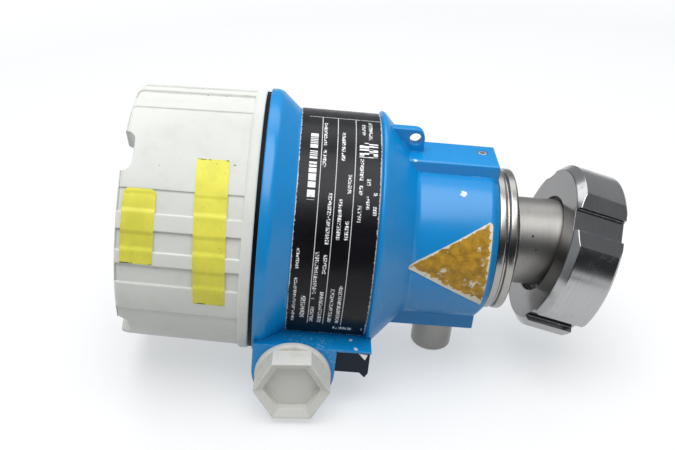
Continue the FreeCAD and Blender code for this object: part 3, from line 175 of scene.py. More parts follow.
class Finishes(bpy.types.PropertyGroup):
    """Colours of the finishes."""
    blue: colour("Blue paint", "Coat of the housing", 0.003, 0.24, 0.59)
    grey: colour("Grey paint", "Coat of the lid", 0.745, 0.755, 0.715)
    plug: colour("Plug plastic", "Moulded plastic of the blind plug", 0.67, 0.665, 0.62)
    plate: colour("Plate black", "Printed ground of the nameplate", 0.006, 0.006, 0.008)
    print: colour("Print", "Light print on the nameplate", 0.86, 0.86, 0.86)
    steel: colour("Steel", "Turned steel", 0.47, 0.455, 0.43)
    nut: colour("Nut steel", "Scuffed steel of the union nut", 0.42, 0.42, 0.42)
    tape: colour("Tape", "Blank adhesive tape", 0.74, 0.70, 0.08)
    sticker: colour("Sticker", "Blank worn sticker", 0.42, 0.23, 0.017)
    backing: colour("Backing", "Torn edge of the sticker", 0.72, 0.68, 0.55)
    rubber: colour("Rubber", "Seals", 0.002, 0.002, 0.0025)
    block: colour("Terminal", "Dark moulded terminal", 0.006, 0.013, 0.024)
    floor: colour("Floor", "Pale table top", 0.41, 0.40, 0.395)


class Studio(bpy.types.PropertyGroup):
    """Light of the studio."""
    key: FloatProperty(name="Key", description="Power of the large soft light above", default=10.0,
                       unit="POWER")
    back: FloatProperty(name="Back", description="Power of the soft light behind", default=2.8, unit="POWER")
    fill: FloatProperty(name="Fill", description="Strength of the even light from all sides", default=0.40)
    mirrored: FloatProperty(name="Mirrored air", description="Strength of the air that steel mirrors",
                            default=0.42)
    distance: length("Camera distance", "Distance of the camera from its target", 421.0)
    elevation: angle("Camera elevation", "Height of the camera above the level", 28.5)
    yaw: angle("Camera yaw", "How far the camera stands towards the lid", 2.7)
    roll: angle("Camera roll", "How far the camera is rolled", 6.065)


def only(piece):
    """Makes the piece the one selected and active object."""
    bpy.ops.object.select_all(action="DESELECT")
    bpy.context.view_layer.objects.active = piece
    piece.select_set(True)


def add_plane(name, size):
    """A new selected plane, the start of a drawing or a card."""
    bpy.ops.object.select_all(action="DESELECT")
    bpy.ops.mesh.primitive_plane_add(size=size)
    bpy.context.object.name = name
    return bpy.context.object


def edit(piece):
    only(piece)
    bpy.ops.object.mode_set(mode="EDIT")


def leave_edit():
    bpy.ops.object.mode_set(mode="OBJECT")


def pick_all():
    bpy.ops.mesh.select_all(action="SELECT")


def pick(piece, kind, test):
    """Selects the vertices, edges or faces that pass the test, in edit mode."""
    bpy.ops.mesh.select_mode(type=kind)
    bpy.ops.mesh.select_all(action="DESELECT")
    mesh = bmesh.from_edit_mesh(piece.data)
    for item in {"VERT": mesh.verts, "EDGE": mesh.edges, "FACE": mesh.faces}[kind]:
        if test(item):
            item.select_set(True)
    mesh.select_flush_mode()
    bmesh.update_edit_mesh(piece.data)


def extrude(step):
    bpy.ops.mesh.extrude_region_move(TRANSFORM_OT_translate={"value": step})


def spin(steps, turn):
    """Spins a drawn line round the X axis, in edit mode."""
    pick_all()
    bpy.ops.mesh.spin(steps=steps, angle=turn, center=(0, 0, 0), axis=(1, 0, 0))


def draw_in(depth, radius):
    """Draws what is selected towards the X axis, by a depth at a radius."""
    shrink = 1.0 - depth / radius
    bpy.ops.transform.resize(value=(1.0, shrink, shrink), center_override=(0, 0, 0))


def trim(point, normal):
    """Cuts a mesh with a plane and drops what lies behind it, in edit mode."""
    pick_all()
    bpy.ops.mesh.bisect(plane_co=point, plane_no=normal, clear_inner=True, clear_outer=False)


def round_edges(piece, test, width, segments):
    """Rounds the edges that pass the test, and leaves edit mode."""
    pick(piece, "EDGE", test)
    bpy.ops.mesh.bevel(offset=width, segments=segments, affect="EDGES")
    leave_edit()


def clean():
    """Merges doubles and turns the faces outwards, in edit mode."""
    bpy.ops.mesh.select_mode(type="VERT")
    pick_all()
    bpy.ops.mesh.remove_doubles(threshold=TINY)
    bpy.ops.mesh.normals_make_consistent(inside=False)


def draw_line(name, points):
    """Draws a line through the points by extruding one vertex, and stays in edit mode."""
    piece = add_plane(name, MM)
    edit(piece)
    bpy.ops.mesh.select_mode(type="VERT")
    pick_all()
    bpy.ops.mesh.merge(type="CENTER")
    bpy.ops.transform.translate(value=points[0])
    for here, there in zip(points, points[1:]):
        extrude(Vector(there) - Vector(here))
    pick_all()
    bpy.ops.mesh.remove_doubles(threshold=TINY)
    return piece


def round_corners(piece, corners, segments=5):
    """Rounds the corners of a drawn line; each corner is a point and the length it takes off."""
    for size in sorted({size for _, size in corners if size > 0}):
        places = [Vector(point) for point, own in corners if own == size]
        pick(piece, "VERT", lambda vert: any((vert.co - place).length < TINY for place in places))
        bpy.ops.mesh.bevel(offset=size, segments=segments, affect="VERTICES")


def lathe(name, profile, steps=192, segments=5):
    """Body turned round the X axis from points of distance, radius and an optional rounding."""
    points = [(row[0], 0.0, row[1]) for row in profile]
    on_axis = profile[0][1] == 0.0 and profile[-1][1] == 0.0
    piece = draw_line(name, points if on_axis else points + points[:1])
    round_corners(piece, [(point, row[2]) for point, row in zip(points, profile) if len(row) > 2], segments)
    spin(steps, math.tau)
    clean()
    leave_edit()
    return piece


def prism(name, outline, low, high, rounding=()):
    """Solid with an outline of X and Z points, reaching from low to high along Y."""
    points = [(x, low, z) for x, z in outline]
    piece = draw_line(name, points + points[:1])
    round_corners(piece, list(zip(points, rounding)), 6)
    pick_all()
    bpy.ops.mesh.edge_face_add()
    extrude((0, high - low, 0))
    clean()
    return piece


def bend_strip(name, points, cuts, start, end, steps):
    """Strip spun round the X axis between two angles from the top, with its faces outwards."""
    strip = draw_line(name, points)
    bpy.ops.mesh.subdivide(number_cuts=cuts)
    spin(steps, math.radians(end - start))
    pick_all()
    mesh = bmesh.from_edit_mesh(strip.data)
    mesh.faces.ensure_lookup_table()
    centre = mesh.faces[0].calc_center_median()
    if mesh.faces[0].normal.dot(Vector((0, centre.y, centre.z))) < 0:
        bpy.ops.mesh.flip_normals()
    leave_edit()
    place(strip, turn=math.radians(end))
    return strip


def keep_place():
    """Moves the place and turn of the selected object into its mesh."""
    bpy.ops.object.transform_apply(location=True, rotation=True, scale=True)


def place(piece, location=(0, 0, 0), axis="X", turn=0.0):
    """Turns a piece about one axis, moves it, and keeps the place in its mesh."""
    only(piece)
    piece.rotation_euler["XYZ".index(axis)] = turn
    piece.location = location
    keep_place()


def modify(piece, name, kind, **settings):
    """Gives a piece a modifier with its settings, and applies it."""
    modifier = piece.modifiers.new(name, kind)
    for key, value in settings.items():
        setattr(modifier, key, value)
    only(piece)
    bpy.ops.object.modifier_apply(modifier=modifier.name)


def combine(piece, tool, operation):
    """Joins a tool body to a piece, or cuts it out, and removes the tool."""
    modify(piece, operation.title(), "BOOLEAN", operation=operation, solver="EXACT", object=tool)
    bpy.data.objects.remove(tool)


def ring_of_copies(piece, count, step):
    """Copies a tool body round the X axis and joins the copies to it."""
    copies = [piece]
    for index in range(1, count):
        only(piece)
        bpy.ops.object.duplicate()
        copy = bpy.context.object
        place(copy, turn=step * index)
        copies.append(copy)
    only(piece)
    for copy in copies:
        copy.select_set(True)
    bpy.ops.object.join()
    return piece


def bevel_edges(piece, width, segments=2, sharp=math.radians(28)):
    """Breaks the sharp edges with a small bevel."""
    modify(piece, "Edges", "BEVEL", width=width, segments=segments, limit_method="ANGLE",
           angle_limit=sharp, use_clamp_overlap=False)


def thicken(piece, thickness):
    """Gives a sheet its thickness, outwards."""
    modify(piece, "Thickness", "SOLIDIFY", thickness=thickness, offset=1.0)


def finish_piece(piece, material, body, nodes=(), smooth=30.0):
    """Shades a piece, gives it its finish and ties it to the body that carries it."""
    only(piece)
    bpy.ops.object.shade_smooth_by_angle(angle=math.radians(smooth))
    modify(piece, "Even shading", "WEIGHTED_NORMAL", keep_sharp=True)
    piece.data.materials.clear()
    piece.data.materials.append(material)
    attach(piece, body)
    if nodes:
        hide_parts(*nodes)


def in_end(edge):
    """Whether an edge of a prism lies in one of its two ends."""
    return abs(edge.verts[0].co.y - edge.verts[1].co.y) < TINY


def turn_of(point):
    """Angle of a point round the X axis in degrees, from the top towards the front."""
    return math.degrees(math.atan2(-point.y, point.z)) % 360.0


def inside(value, low, high):
    return low < value < high


def link_or_set(socket, value):
    """Links an input to another socket, or sets its value."""
    if isinstance(value, bpy.types.NodeSocket):
        socket.id_data.links.new(value, socket)
    else:
        socket.default_value = value


def node(tree, kind, settings=None, inputs=None):
    """Adds a node, sets its settings and fills or links its inputs."""
    item = tree.nodes.new(kind)
    for key, value in (settings or {}).items():
        setattr(item, key, value)
    for key, value in (inputs or {}).items():
        link_or_set(item.inputs[key], value)
    return item


def tree_of(values):
    """Node tree of the first socket among the values."""
    return next(value.id_data for value in values if isinstance(value, bpy.types.NodeSocket))


def maths(operation, *values):
    """One math node on numbers and sockets; returns its result."""
    fields = dict(enumerate(values))
    return node(tree_of(values), "ShaderNodeMath", {"operation": operation}, fields).outputs[0]


def product(first, second):
    return maths("MULTIPLY", first, second)


def larger(first, second):
    return maths("MAXIMUM", first, second)


def vector_maths(operation, *values):
    """One vector math node; returns its number."""
    fields = dict(enumerate(values))
    return node(tree_of(values), "ShaderNodeVectorMath", {"operation": operation}, fields).outputs["Value"]


def span(value, low, high, start=0.0, end=1.0):
    """Maps a value from one range to another, held at its ends."""
    fields = {"Value": value, "From Min": low, "From Max": high, "To Min": start, "To Max": end}
    return node(value.id_data, "ShaderNodeMapRange", None, fields).outputs["Result"]


def blend_colour(factor, first, second):
    """Mixes two colours; each may be a colour or a socket."""
    fields = {0: factor, 6: first, 7: second}
    return node(factor.id_data, "ShaderNodeMix", {"data_type": "RGBA"}, fields).outputs[2]


def scaled(values, factor=1.0):
    return (values[0] * factor, values[1] * factor, values[2] * factor, 1.0)


def noise(vector, scale, detail=3.0, roughness=0.55):
    """Noise over a vector, as a value near a half."""
    fields = {"Vector": vector, "Scale": scale, "Detail": detail, "Roughness": roughness}
    return node(vector.id_data, "ShaderNodeTexNoise", None, fields).outputs["Fac"]


def chance(*keys):
    """A random value that stays the same for the same keys."""
    tree = tree_of(keys)
    key = node(tree, "ShaderNodeCombineXYZ", None, dict(enumerate(keys))).outputs[0]
    settings = {"noise_dimensions": "3D"}
    return node(tree, "ShaderNodeTexWhiteNoise", settings, {"Vector": key}).outputs["Value"]


def parts_of(vector):
    """The X, Y and Z of a vector."""
    return node(vector.id_data, "ShaderNodeSeparateXYZ", None, {0: vector}).outputs


def worn_edges(given):
    """Mask of the convex edges, broken up by noise."""
    tree = given["Radius"].id_data
    bevel = node(tree, "ShaderNodeBevel", {"samples": 6}, {"Radius": given["Radius"]}).outputs["Normal"]
    normal = node(tree, "ShaderNodeNewGeometry").outputs["Normal"]
    away = maths("SUBTRACT", 1.0, vector_maths("DOT_PRODUCT", bevel, normal))
    broken = product(away, span(noise(given["Vector"], 420.0, 6.0, 0.7), 0.42, 0.66))
    return [product(span(broken, 0.05, 0.20), given["Amount"])]


def sprayed_coat(given):
    """Orange peel height, slow colour drift and smudges of a sprayed coat."""
    peel = noise(given["Vector"], 1100.0, 2.0)
    sand = noise(given["Vector"], 3800.0, 1.0)
    height = maths("ADD", product(peel, 0.75), product(sand, 0.25))
    drift = noise(given["Vector"], 26.0, 4.0, 0.6)
    smudge = span(noise(given["Vector"], 95.0, 7.0, 0.72), 0.52, 0.74)
    return [height, drift, smudge]


def chipped_spot(given):
    """Mask of one ragged spot at a given place."""
    distance = vector_maths("DISTANCE", given["Vector"], given["Place"])
    ragged = product(distance, span(noise(given["Vector"], 800.0, 4.0), 0.3, 0.7, 0.6, 1.5))
    return [maths("LESS_THAN", ragged, given["Radius"])]


def turned_lines(given):
    """Fine lines of turning round the X axis, with scuffs and a slow drift."""
    parts = parts_of(given["Vector"])
    square = maths("ADD", product(parts["Y"], parts["Y"]), product(parts["Z"], parts["Z"]))
    across = product(maths("ADD", parts["X"], maths("SQRT", square)), given["Pitch"])
    lines = node(across.id_data, "ShaderNodeTexNoise", {"noise_dimensions": "1D"},
                 {"W": across, "Scale": 1.0, "Detail": 3.0, "Roughness": 0.6}).outputs["Fac"]
    scuffs = span(noise(given["Vector"], 210.0, 8.0, 0.75), 0.55, 0.72)
    return [lines, scuffs, noise(given["Vector"], 34.0, 3.0)]


def greeked_row(given):
    """Mask of one greeked row of print: small marks between two ends, without letters."""
    across, along, cell = given["Across"], given["Along"], given["Cell"]
    from_middle = maths("ABSOLUTE", maths("SUBTRACT", across, given["Middle"]))
    ends = product(maths("GREATER_THAN", along, given["Start"]), maths("LESS_THAN", along, given["End"]))
    field = product(maths("LESS_THAN", from_middle, given["Half"]), ends)
    word_cell = maths("FLOOR", maths("DIVIDE", along, product(cell, 12.0)))
    mark_cell = maths("FLOOR", maths("DIVIDE", along, cell))
    heights = maths("DIVIDE", across, product(given["Half"], 0.5))
    high_cell = product(maths("FLOOR", heights), given["Broken"])
    seed = product(given["Middle"], 7919.0)
    shown = product(maths("GREATER_THAN", chance(word_cell, seed), 0.10),
                    maths("GREATER_THAN", chance(mark_cell, high_cell, seed), 0.42))
    triple = maths("FRACT", maths("DIVIDE", along, product(cell, 3.0)))
    spaced = larger(maths("LESS_THAN", triple, 0.76), maths("SUBTRACT", 1.0, given["Broken"]))
    return [product(field, product(shown, spaced))]


EFFECTS = {
    "Worn edges": (worn_edges, ("Vector", "Radius", "Amount"), ("Mask",)),
    "Sprayed coat": (sprayed_coat, ("Vector",), ("Height", "Drift", "Smudge")),
    "Chipped spot": (chipped_spot, ("Vector", "Place", "Radius"), ("Mask",)),
    "Turned lines": (turned_lines, ("Vector", "Pitch"), ("Lines", "Scuffs", "Drift")),
    "Greeked row": (greeked_row, ("Across", "Along", "Middle", "Half", "Start", "End", "Cell", "Broken"),
                    ("Mask",)),
}


def effect(name, **inputs):
    """Places a shared node group, built on its first use, with its own values; returns its outputs."""
    if name not in bpy.data.node_groups:
        build, takes, gives = EFFECTS[name]
        group = bpy.data.node_groups.new(name, "ShaderNodeTree")
        for label in takes:
            kind = "NodeSocketVector" if label in ("Vector", "Place") else "NodeSocketFloat"
            group.interface.new_socket(label, in_out="INPUT", socket_type=kind)
        for label in gives:
            group.interface.new_socket(label, in_out="OUTPUT", socket_type="NodeSocketFloat")
        given = group.nodes.new("NodeGroupInput").outputs
        result = group.nodes.new("NodeGroupOutput").inputs
        for label, value in zip(gives, build(given)):
            group.links.new(value, result[label])
    settings = {"node_tree": bpy.data.node_groups[name]}
    return node(tree_of(inputs.values()), "ShaderNodeGroup", settings, inputs).outputs


def spots(coords, marks):
    """Masks of ragged spots; each mark is a place and a radius in millimetres."""
    masks = []
    for middle, radius in marks:
        place_m = [value * MM for value in middle]
        masks.append(effect("Chipped spot", Vector=coords, Place=place_m, Radius=radius * MM)["Mask"])
    return masks


def start_material(name, settings):
    """A new material with its shader set; returns material, shader and object coordinates."""
    material = bpy.data.materials.new(name)
    material.use_nodes = True
    shader = material.node_tree.nodes["Principled BSDF"]
    for key, value in settings.items():
        shader.inputs[key].default_value = value
    return material, shader, node(material.node_tree, "ShaderNodeTexCoord").outputs["Object"]


def start_coat(name, tint, low, high, settings):
    """Starts a coated material whose tint drifts between two shades."""
    material, shader, coords = start_material(name, settings)
    coat = effect("Sprayed coat", Vector=coords)
    base = blend_colour(span(coat["Drift"], 0.3, 0.7), scaled(tint, low), scaled(tint, high))
    return material, shader, coords, coat, base


def soft_normal(shader, radius):
    """Normal that runs softly over edges, as on a coated casting."""
    return node(shader.id_data, "ShaderNodeBevel", {"samples": 8}, {"Radius": radius}).outputs["Normal"]


def dress(shader, base, rough, height, depth, strength, normal=None):
    """Feeds a colour, a roughness and a height over an optional normal into the shader."""
    fields = {"Height": height, "Distance": depth, "Strength": strength}
    if normal is not None:
        fields["Normal"] = normal
    bump = node(shader.id_data, "ShaderNodeBump", None, fields).outputs["Normal"]
    for key, value in (("Base Color", base), ("Roughness", rough), ("Normal", bump)):
        link_or_set(shader.inputs[key], value)


# Places and radii of lost and rubbed paint, in millimetres.
CHIPS = (
    ((-64.14, -18.23, 28.11), 1.3),
    ((-83.5, -9.9, 36.9), 0.8),
    ((-103.0, -40.0, -29.5), 0.8),
    ((-101.2, -46.0, -29.5), 0.9),
)
RUBS = (
    ((-124.0, -43.5, -29.5), 4.5),
    ((-115.0, -43.5, -29.5), 4.0),
    ((-110.5, -47.4, -33.0), 4.0),
)
RUBBED_BLUE = (0.42, 0.62, 0.80, 1.0)
BARE_PRIMER = (0.60, 0.68, 0.70, 1.0)
GREY_SOIL = (0.50, 0.50, 0.46, 1.0)
DARK_SPECK = (0.16, 0.15, 0.13, 1.0)
EDGE_GRIME = (0.22, 0.20, 0.16, 1.0)
PLUG_SOIL = (0.40, 0.38, 0.32, 1.0)
BRIGHT_EDGE = (0.86, 0.86, 0.85, 1.0)
# Painted highlight along the nameplate's rim.
PAINTED_RIM_HIGHLIGHT = (0.55, 0.55, 0.54, 1.0)
FILM_SPECK = (0.03, 0.03, 0.025, 1.0)


def blue_paint():
    """Satin blue coat over cast metal, chipped in places."""
    blue = bpy.context.scene.transmitter_finishes.blue
    settings = {"Specular IOR Level": 0.06, "Coat Roughness": 0.26}
    material, shader, coords, coat, base = start_coat("blue_paint", blue, 0.93, 1.06, settings)
    base = blend_colour(product(coat["Smudge"], 0.12), base, scaled(blue, 0.7))
    edges = effect("Worn edges", Vector=coords, Radius=0.7 * MM, Amount=0.6)["Mask"]
    base = blend_colour(edges, base, RUBBED_BLUE)
    rubbed = span(noise(coords, 1300.0, 5.0, 0.7), 0.56, 0.62)
    for spot in spots(coords, RUBS):
        base = blend_colour(product(product(spot, rubbed), 0.55), base, RUBBED_BLUE)
    for spot in spots(coords, CHIPS):
        base = blend_colour(spot, base, BARE_PRIMER)
    facing = node(shader.id_data, "ShaderNodeLayerWeight", None, {"Blend": 0.5}).outputs["Facing"]
    link_or_set(shader.inputs["Coat Weight"], span(facing, 0.40, 0.72, 0.85, 0.05))
    rough = span(coat["Smudge"], 0.0, 1.0, 0.27, 0.40)
    dress(shader, base, rough, coat["Height"], 0.05 * MM, 0.4, soft_normal(shader, 1.3 * MM))
    return material


def grey_paint():
    """Light grey coat of the lid, slightly soiled in the corners."""
    grey = bpy.context.scene.transmitter_finishes.grey
    settings = {"Specular IOR Level": 0.4, "Diffuse Roughness": 1.0}
    material, shader, coords, coat, base = start_coat("grey_paint", grey, 0.95, 1.04, settings)
    base = blend_colour(product(coat["Smudge"], 0.22), base, GREY_SOIL)
    base = blend_colour(span(noise(coords, 620.0, 2.0), 0.755, 0.77), base, DARK_SPECK)
    rough = span(coat["Smudge"], 0.0, 1.0, 0.42, 0.55)
    dress(shader, base, rough, coat["Height"], 0.05 * MM, 0.5, soft_normal(shader, 0.6 * MM))
    return material


def plug_plastic():
    """Moulded light plastic with grime along the edges."""
    plug = bpy.context.scene.transmitter_finishes.plug
    settings = {"Specular IOR Level": 0.4}
    material, shader, coords, coat, base = start_coat("plug_plastic", plug, 0.93, 1.05, settings)
    edges = effect("Worn edges", Vector=coords, Radius=0.7 * MM, Amount=0.55)["Mask"]
    base = blend_colour(edges, base, EDGE_GRIME)
    base = blend_colour(product(coat["Smudge"], 0.35), base, PLUG_SOIL)
    dress(shader, base, span(coat["Smudge"], 0.0, 1.0, 0.48, 0.62), coat["Height"], 0.06 * MM, 0.5)
    return material


def turned_steel(name, tint, low, high, pitch=2600.0, tilt=0.0, centre=(0, 0, 0), pits=(), painted_shade_end=None):
    """Turned steel: lines round the axis, scuffs, worn edges, pits, slow changes of gloss and, where asked,
    a painted shade on the end face.
    """
    material, shader, coords = start_material(name, {"Metallic": 1.0})
    turned = node(shader.id_data, "ShaderNodeMapping", {"vector_type": "TEXTURE"},
                  {"Vector": coords, "Location": centre, "Rotation": (0, tilt, 0)}).outputs[0]
    lines = effect("Turned lines", Vector=turned, Pitch=pitch)
    shade = blend_colour(span(lines["Lines"], 0.3, 0.7), scaled(tint, 0.93), scaled(tint, 1.04))
    shade = blend_colour(product(lines["Scuffs"], 0.4), shade, scaled(tint, 0.66))
    # Painted shade: the end face below the given distance along the axis is darkened, standing in for the
    # shade and dark reflections on the nut's face.
    if painted_shade_end is not None:
        painted_face_shade = maths("LESS_THAN", parts_of(turned)["X"], painted_shade_end)
        shade = blend_colour(product(painted_face_shade, 0.72), shade, scaled(tint, 0.36))
    edges = effect("Worn edges", Vector=coords, Radius=0.55 * MM, Amount=0.9)["Mask"]
    shade = blend_colour(edges, shade, BRIGHT_EDGE)
    for spot in spots(coords, pits):
        shade = blend_colour(spot, shade, scaled(tint, 0.25))
    rough = maths("ADD", span(lines["Drift"], 0.3, 0.7, low, high), product(lines["Scuffs"], 0.12))
    dress(shader, shade, maths("ADD", rough, product(edges, 0.3)), lines["Lines"], 0.012 * MM, 0.6)
    return material


def plain_plastic(name, tint, rough, grain=900.0, sheen=0.4):
    """Moulded plastic or rubber with a fine grain."""
    material, shader, coords, coat, base = start_coat(name, tint, 0.8, 1.2, {"Specular IOR Level": sheen})
    base = blend_colour(product(coat["Smudge"], 0.3), base, scaled(tint, 1.9))
    soiled = span(coat["Smudge"], 0.0, 1.0, rough, rough + 0.12)
    dress(shader, base, soiled, noise(coords, grain, 2.0), 0.05 * MM, 0.6)
    return material


PLATE_LEFT = -129.5
PLATE_WIDTH = 31.5
PLATE_LOW = 127.0
PLATE_HIGH = -58.0
PLATE_RADIUS = 46.8
# Middle and half height as shares of the plate's width, start, end and width of a mark in millimetres.
PRINT_ROWS = (
    (0.081, 0.018, 9.5, 44.0, 0.30),
    (0.190, 0.028, 9.5, 24.5, 0.34),
    (0.310, 0.022, 9.5, 23.5, 0.32),
    (0.310, 0.022, 25.5, 43.0, 0.32),
    (0.310, 0.020, 75.0, 83.0, 0.31),
    (0.310, 0.020, 85.0, 99.5, 0.31),
    (0.406, 0.022, 9.5, 27.5, 0.32),
    (0.406, 0.022, 30.0, 65.0, 0.32),
    (0.533, 0.022, 10.0, 28.5, 0.32),
    (0.533, 0.022, 48.0, 69.0, 0.33),
    (0.533, 0.022, 78.5, 93.5, 0.32),
    (0.628, 0.022, 10.0, 30.0, 0.32),
    (0.628, 0.022, 48.0, 55.0, 0.32),
    (0.628, 0.022, 59.0, 73.0, 0.32),
    (0.762, 0.022, 55.0, 69.0, 0.32),
    (0.762, 0.022, 71.0, 80.0, 0.32),
    (0.854, 0.022, 60.0, 72.0, 0.32),
    (0.942, 0.022, 58.0, 66.5, 0.32),
    (0.838, 0.112, 81.0, 88.5, 0.62),
    (0.776, 0.022, 90.0, 100.5, 0.31),
    (0.860, 0.022, 90.0, 102.5, 0.31),
)
SIDE_ROW = (6.0, 1.0, 18.5, 30.0, 0.31)
STRIPE_FIELD = (0.176, 0.046, 62.0, 91.5, 0.46)
SEPARATORS = (0.268, 0.459, 0.681)
PRINT_START = 8.5
PRINT_END = 104.5
RULE_SHADE = 0.75


def plate_print():
    """Dark printed foil: thin rules, greeked rows and a light ragged border painted as a highlight along its
    rim.
    """
    colours = bpy.context.scene.transmitter_finishes
    material, shader, coords = start_material("plate_print", {"Specular IOR Level": 0.2})
    parts = parts_of(coords)
    across = maths("DIVIDE", maths("SUBTRACT", parts["X"], PLATE_LEFT * MM), PLATE_WIDTH * MM)
    turn = maths("ARCTAN2", product(parts["Y"], -1.0), parts["Z"])
    along = product(maths("SUBTRACT", math.radians(PLATE_LOW), turn), PLATE_RADIUS)
    rows = [(across, along, row, 1.0) for row in PRINT_ROWS]
    rows += [(along, product(across, PLATE_WIDTH), SIDE_ROW, 1.0), (across, along, STRIPE_FIELD, 0.0)]
    cross = product(maths("COMPARE", along, PRINT_END, 0.16), maths("GREATER_THAN", across, 0.1))
    marks = product(cross, RULE_SHADE)
    for first, second, (middle, half, start, end, cell), broken in rows:
        row = effect("Greeked row", Across=first, Along=second, Middle=middle, Half=half,
                     Start=start, End=end, Cell=cell, Broken=broken)["Mask"]
        marks = larger(marks, row)
    printed = product(maths("LESS_THAN", along, PRINT_END), maths("GREATER_THAN", along, PRINT_START))
    for middle in SEPARATORS:
        rule = product(maths("COMPARE", across, middle, 0.0045), printed)
        marks = larger(marks, product(rule, RULE_SHADE))
    worn = noise(coords, 900.0, 5.0, 0.7)
    marks = product(marks, span(worn, 0.30, 0.44, 0.35, 1.0))
    # Painted highlight: a light ragged line along the plate's edges stands in for the highlight on its rim.
    side = maths("MINIMUM", across, maths("SUBTRACT", 1.0, across))
    border = maths("MINIMUM", product(side, PLATE_WIDTH), along)
    rim = maths("LESS_THAN", border, span(worn, 0.35, 0.65, 0.02, 0.6))
    base = blend_colour(span(noise(coords, 60.0, 5.0), 0.35, 0.65),
                        scaled(colours.plate, 0.8), scaled(colours.plate, 1.3))
    base = blend_colour(marks, base, scaled(colours.print))
    base = blend_colour(rim, base, PAINTED_RIM_HIGHLIGHT)
    rough = span(noise(coords, 130.0, 6.0, 0.7), 0.4, 0.7, 0.26, 0.40)
    dress(shader, base, rough, worn, 0.01 * MM, 0.5)
    return material


def film_material(name, tint, worn_tint, wear, mottle=70.0, depth=0.10, sides=()):
    """Thin blank film: slow colour drift, small dark specks, worn patches and torn sides."""
    material, shader, coords = start_material(name, {"Specular IOR Level": 0.35})
    drift = span(noise(coords, mottle, 5.0, 0.6), 0.35, 0.65)
    base = blend_colour(drift, scaled(tint, 1.0 - depth), scaled(tint, 1.0 + depth))
    patches = span(noise(coords, 150.0, 7.0, 0.72), 0.64 - wear, 0.67 - wear)
    ragged = span(noise(coords, 300.0, 6.0, 0.7), 0.36, 0.66, 0.15 * MM, 1.4 * MM)
    for (point, normal), share in sides:
        distance = maths("SUBTRACT", vector_maths("DOT_PRODUCT", coords, normal), point.dot(normal))
        patches = larger(patches, maths("LESS_THAN", distance, product(ragged, share)))
    base = blend_colour(patches, base, scaled(worn_tint))
    specks = span(noise(coords, 1500.0, 2.0), 0.70, 0.73)
    base = blend_colour(product(specks, 0.7), base, FILM_SPECK)
    dress(shader, base, span(drift, 0.0, 1.0, 0.45, 0.58), noise(coords, 240.0, 4.0), 0.08 * MM, 0.5)
    return material


# Degrees from the middle of a land, which each quarter of the lid repeats.
LAND_FROM, LAND_TO = -17.5, 26.5
WIDE_LAND_FROM = -24.5
DEEP_FROM = 16.5
GROOVES_FROM = (33.5, 48.5)
GROOVE_WIDTH = 9.0


class TRANSMITTER_OT_lid(bpy.types.Operator):
    """Turns the lid, sinks its grip grooves and cuts the spanner notches"""
    bl_idname = "transmitter.lid"
    bl_label = "Lid"

    def execute(self, context):
        sizes = context.scene.transmitter_lid
        floor = LID_FRONT + sizes.rim_height
        floor_back = floor + 3.6 * MM
        thread_end = LID_RIM - 14.0 * MM
        band_end = LID_RIM - sizes.band_width
        recess = sizes.front_radius - sizes.rim_width
        lid = lathe("lid_cast", [
            (floor_back, 0.0),
            (floor_back, sizes.inner_radius),
            (thread_end, sizes.inner_radius),
            (thread_end, sizes.thread_radius),
            (LID_RIM, sizes.thread_radius),
            (LID_RIM, sizes.band_radius, 0.9 * MM),
            (band_end, sizes.band_radius, 0.4 * MM),
            (band_end - 0.5 * MM, sizes.grip_radius, 0.3 * MM),
            (LID_FRONT, sizes.front_radius, 2.2 * MM),
            (LID_FRONT, recess, 1.4 * MM),
            (floor, recess, 1.6 * MM),
            (floor, 0.0),
        ], steps=360, segments=4)
        self.sink_grip(lid, sizes)
        self.cut_notches(lid, sizes)
        bevel_edges(lid, 0.22 * MM, 2, math.radians(40))
        finish_piece(lid, grey_paint(), "lid", ["lid"])
        return {"FINISHED"}

    def sink_grip(self, lid, sizes):
        """Presses the broad lands and the narrow grooves into the grip."""
        first = math.degrees(sizes.land_angle)
        back = LID_RIM - sizes.band_width - 1.6 * MM
        front = LID_FRONT + 0.9 * MM
        middle = (sizes.grip_radius + sizes.front_radius) / 2
        starts = [first + QUARTER_TURN * index for index in range(4)]
        lands = [(start + LAND_FROM, start + LAND_TO) for start in starts]
        lands.append((first + WIDE_LAND_FROM, first))
        deep = [(start + DEEP_FROM, start + LAND_TO) for start in starts]
        grooves = [(start + low, start + low + GROOVE_WIDTH) for start in starts for low in GROOVES_FROM]
        edit(lid)
        for ranges, depth in ((lands, sizes.land_depth), (deep, sizes.groove_depth - sizes.land_depth),
                              (grooves, sizes.groove_depth)):
            def in_grip(face):
                centre = face.calc_center_median()
                radial = Vector((0, centre.y, centre.z)).normalized()
                if not inside(centre.x, front, back) or face.normal.dot(radial) < 0.5:
                    return False
                if centre.yz.length < sizes.front_radius - 3.0 * MM:
                    return False
                return any((turn_of(centre) - low) % 360.0 < high - low for low, high in ranges)
            pick(lid, "FACE", in_grip)
            bpy.ops.mesh.extrude_region_move()
            draw_in(depth, middle)
        leave_edit()

    def cut_notches(self, lid, sizes):
        """Cuts the four rounded spanner notches through the rim."""
        half = sizes.notch_width / 2
        floor = LID_FRONT + sizes.notch_depth
        mouth = LID_FRONT - OVERCUT
        inner, outer = sizes.front_radius - sizes.rim_width - OVERCUT, sizes.front_radius + OVERCUT
        tool = prism("notch", [(mouth, inner), (floor, inner), (floor, outer), (mouth, outer)], -half, half)
        round_edges(tool, lambda edge: in_end(edge)
                    and all(abs(vert.co.x - floor) < TINY for vert in edge.verts), sizes.notch_corner, 8)
        place(tool, turn=sizes.land_angle)
        combine(lid, ring_of_copies(tool, 4, QUARTER), "DIFFERENCE")


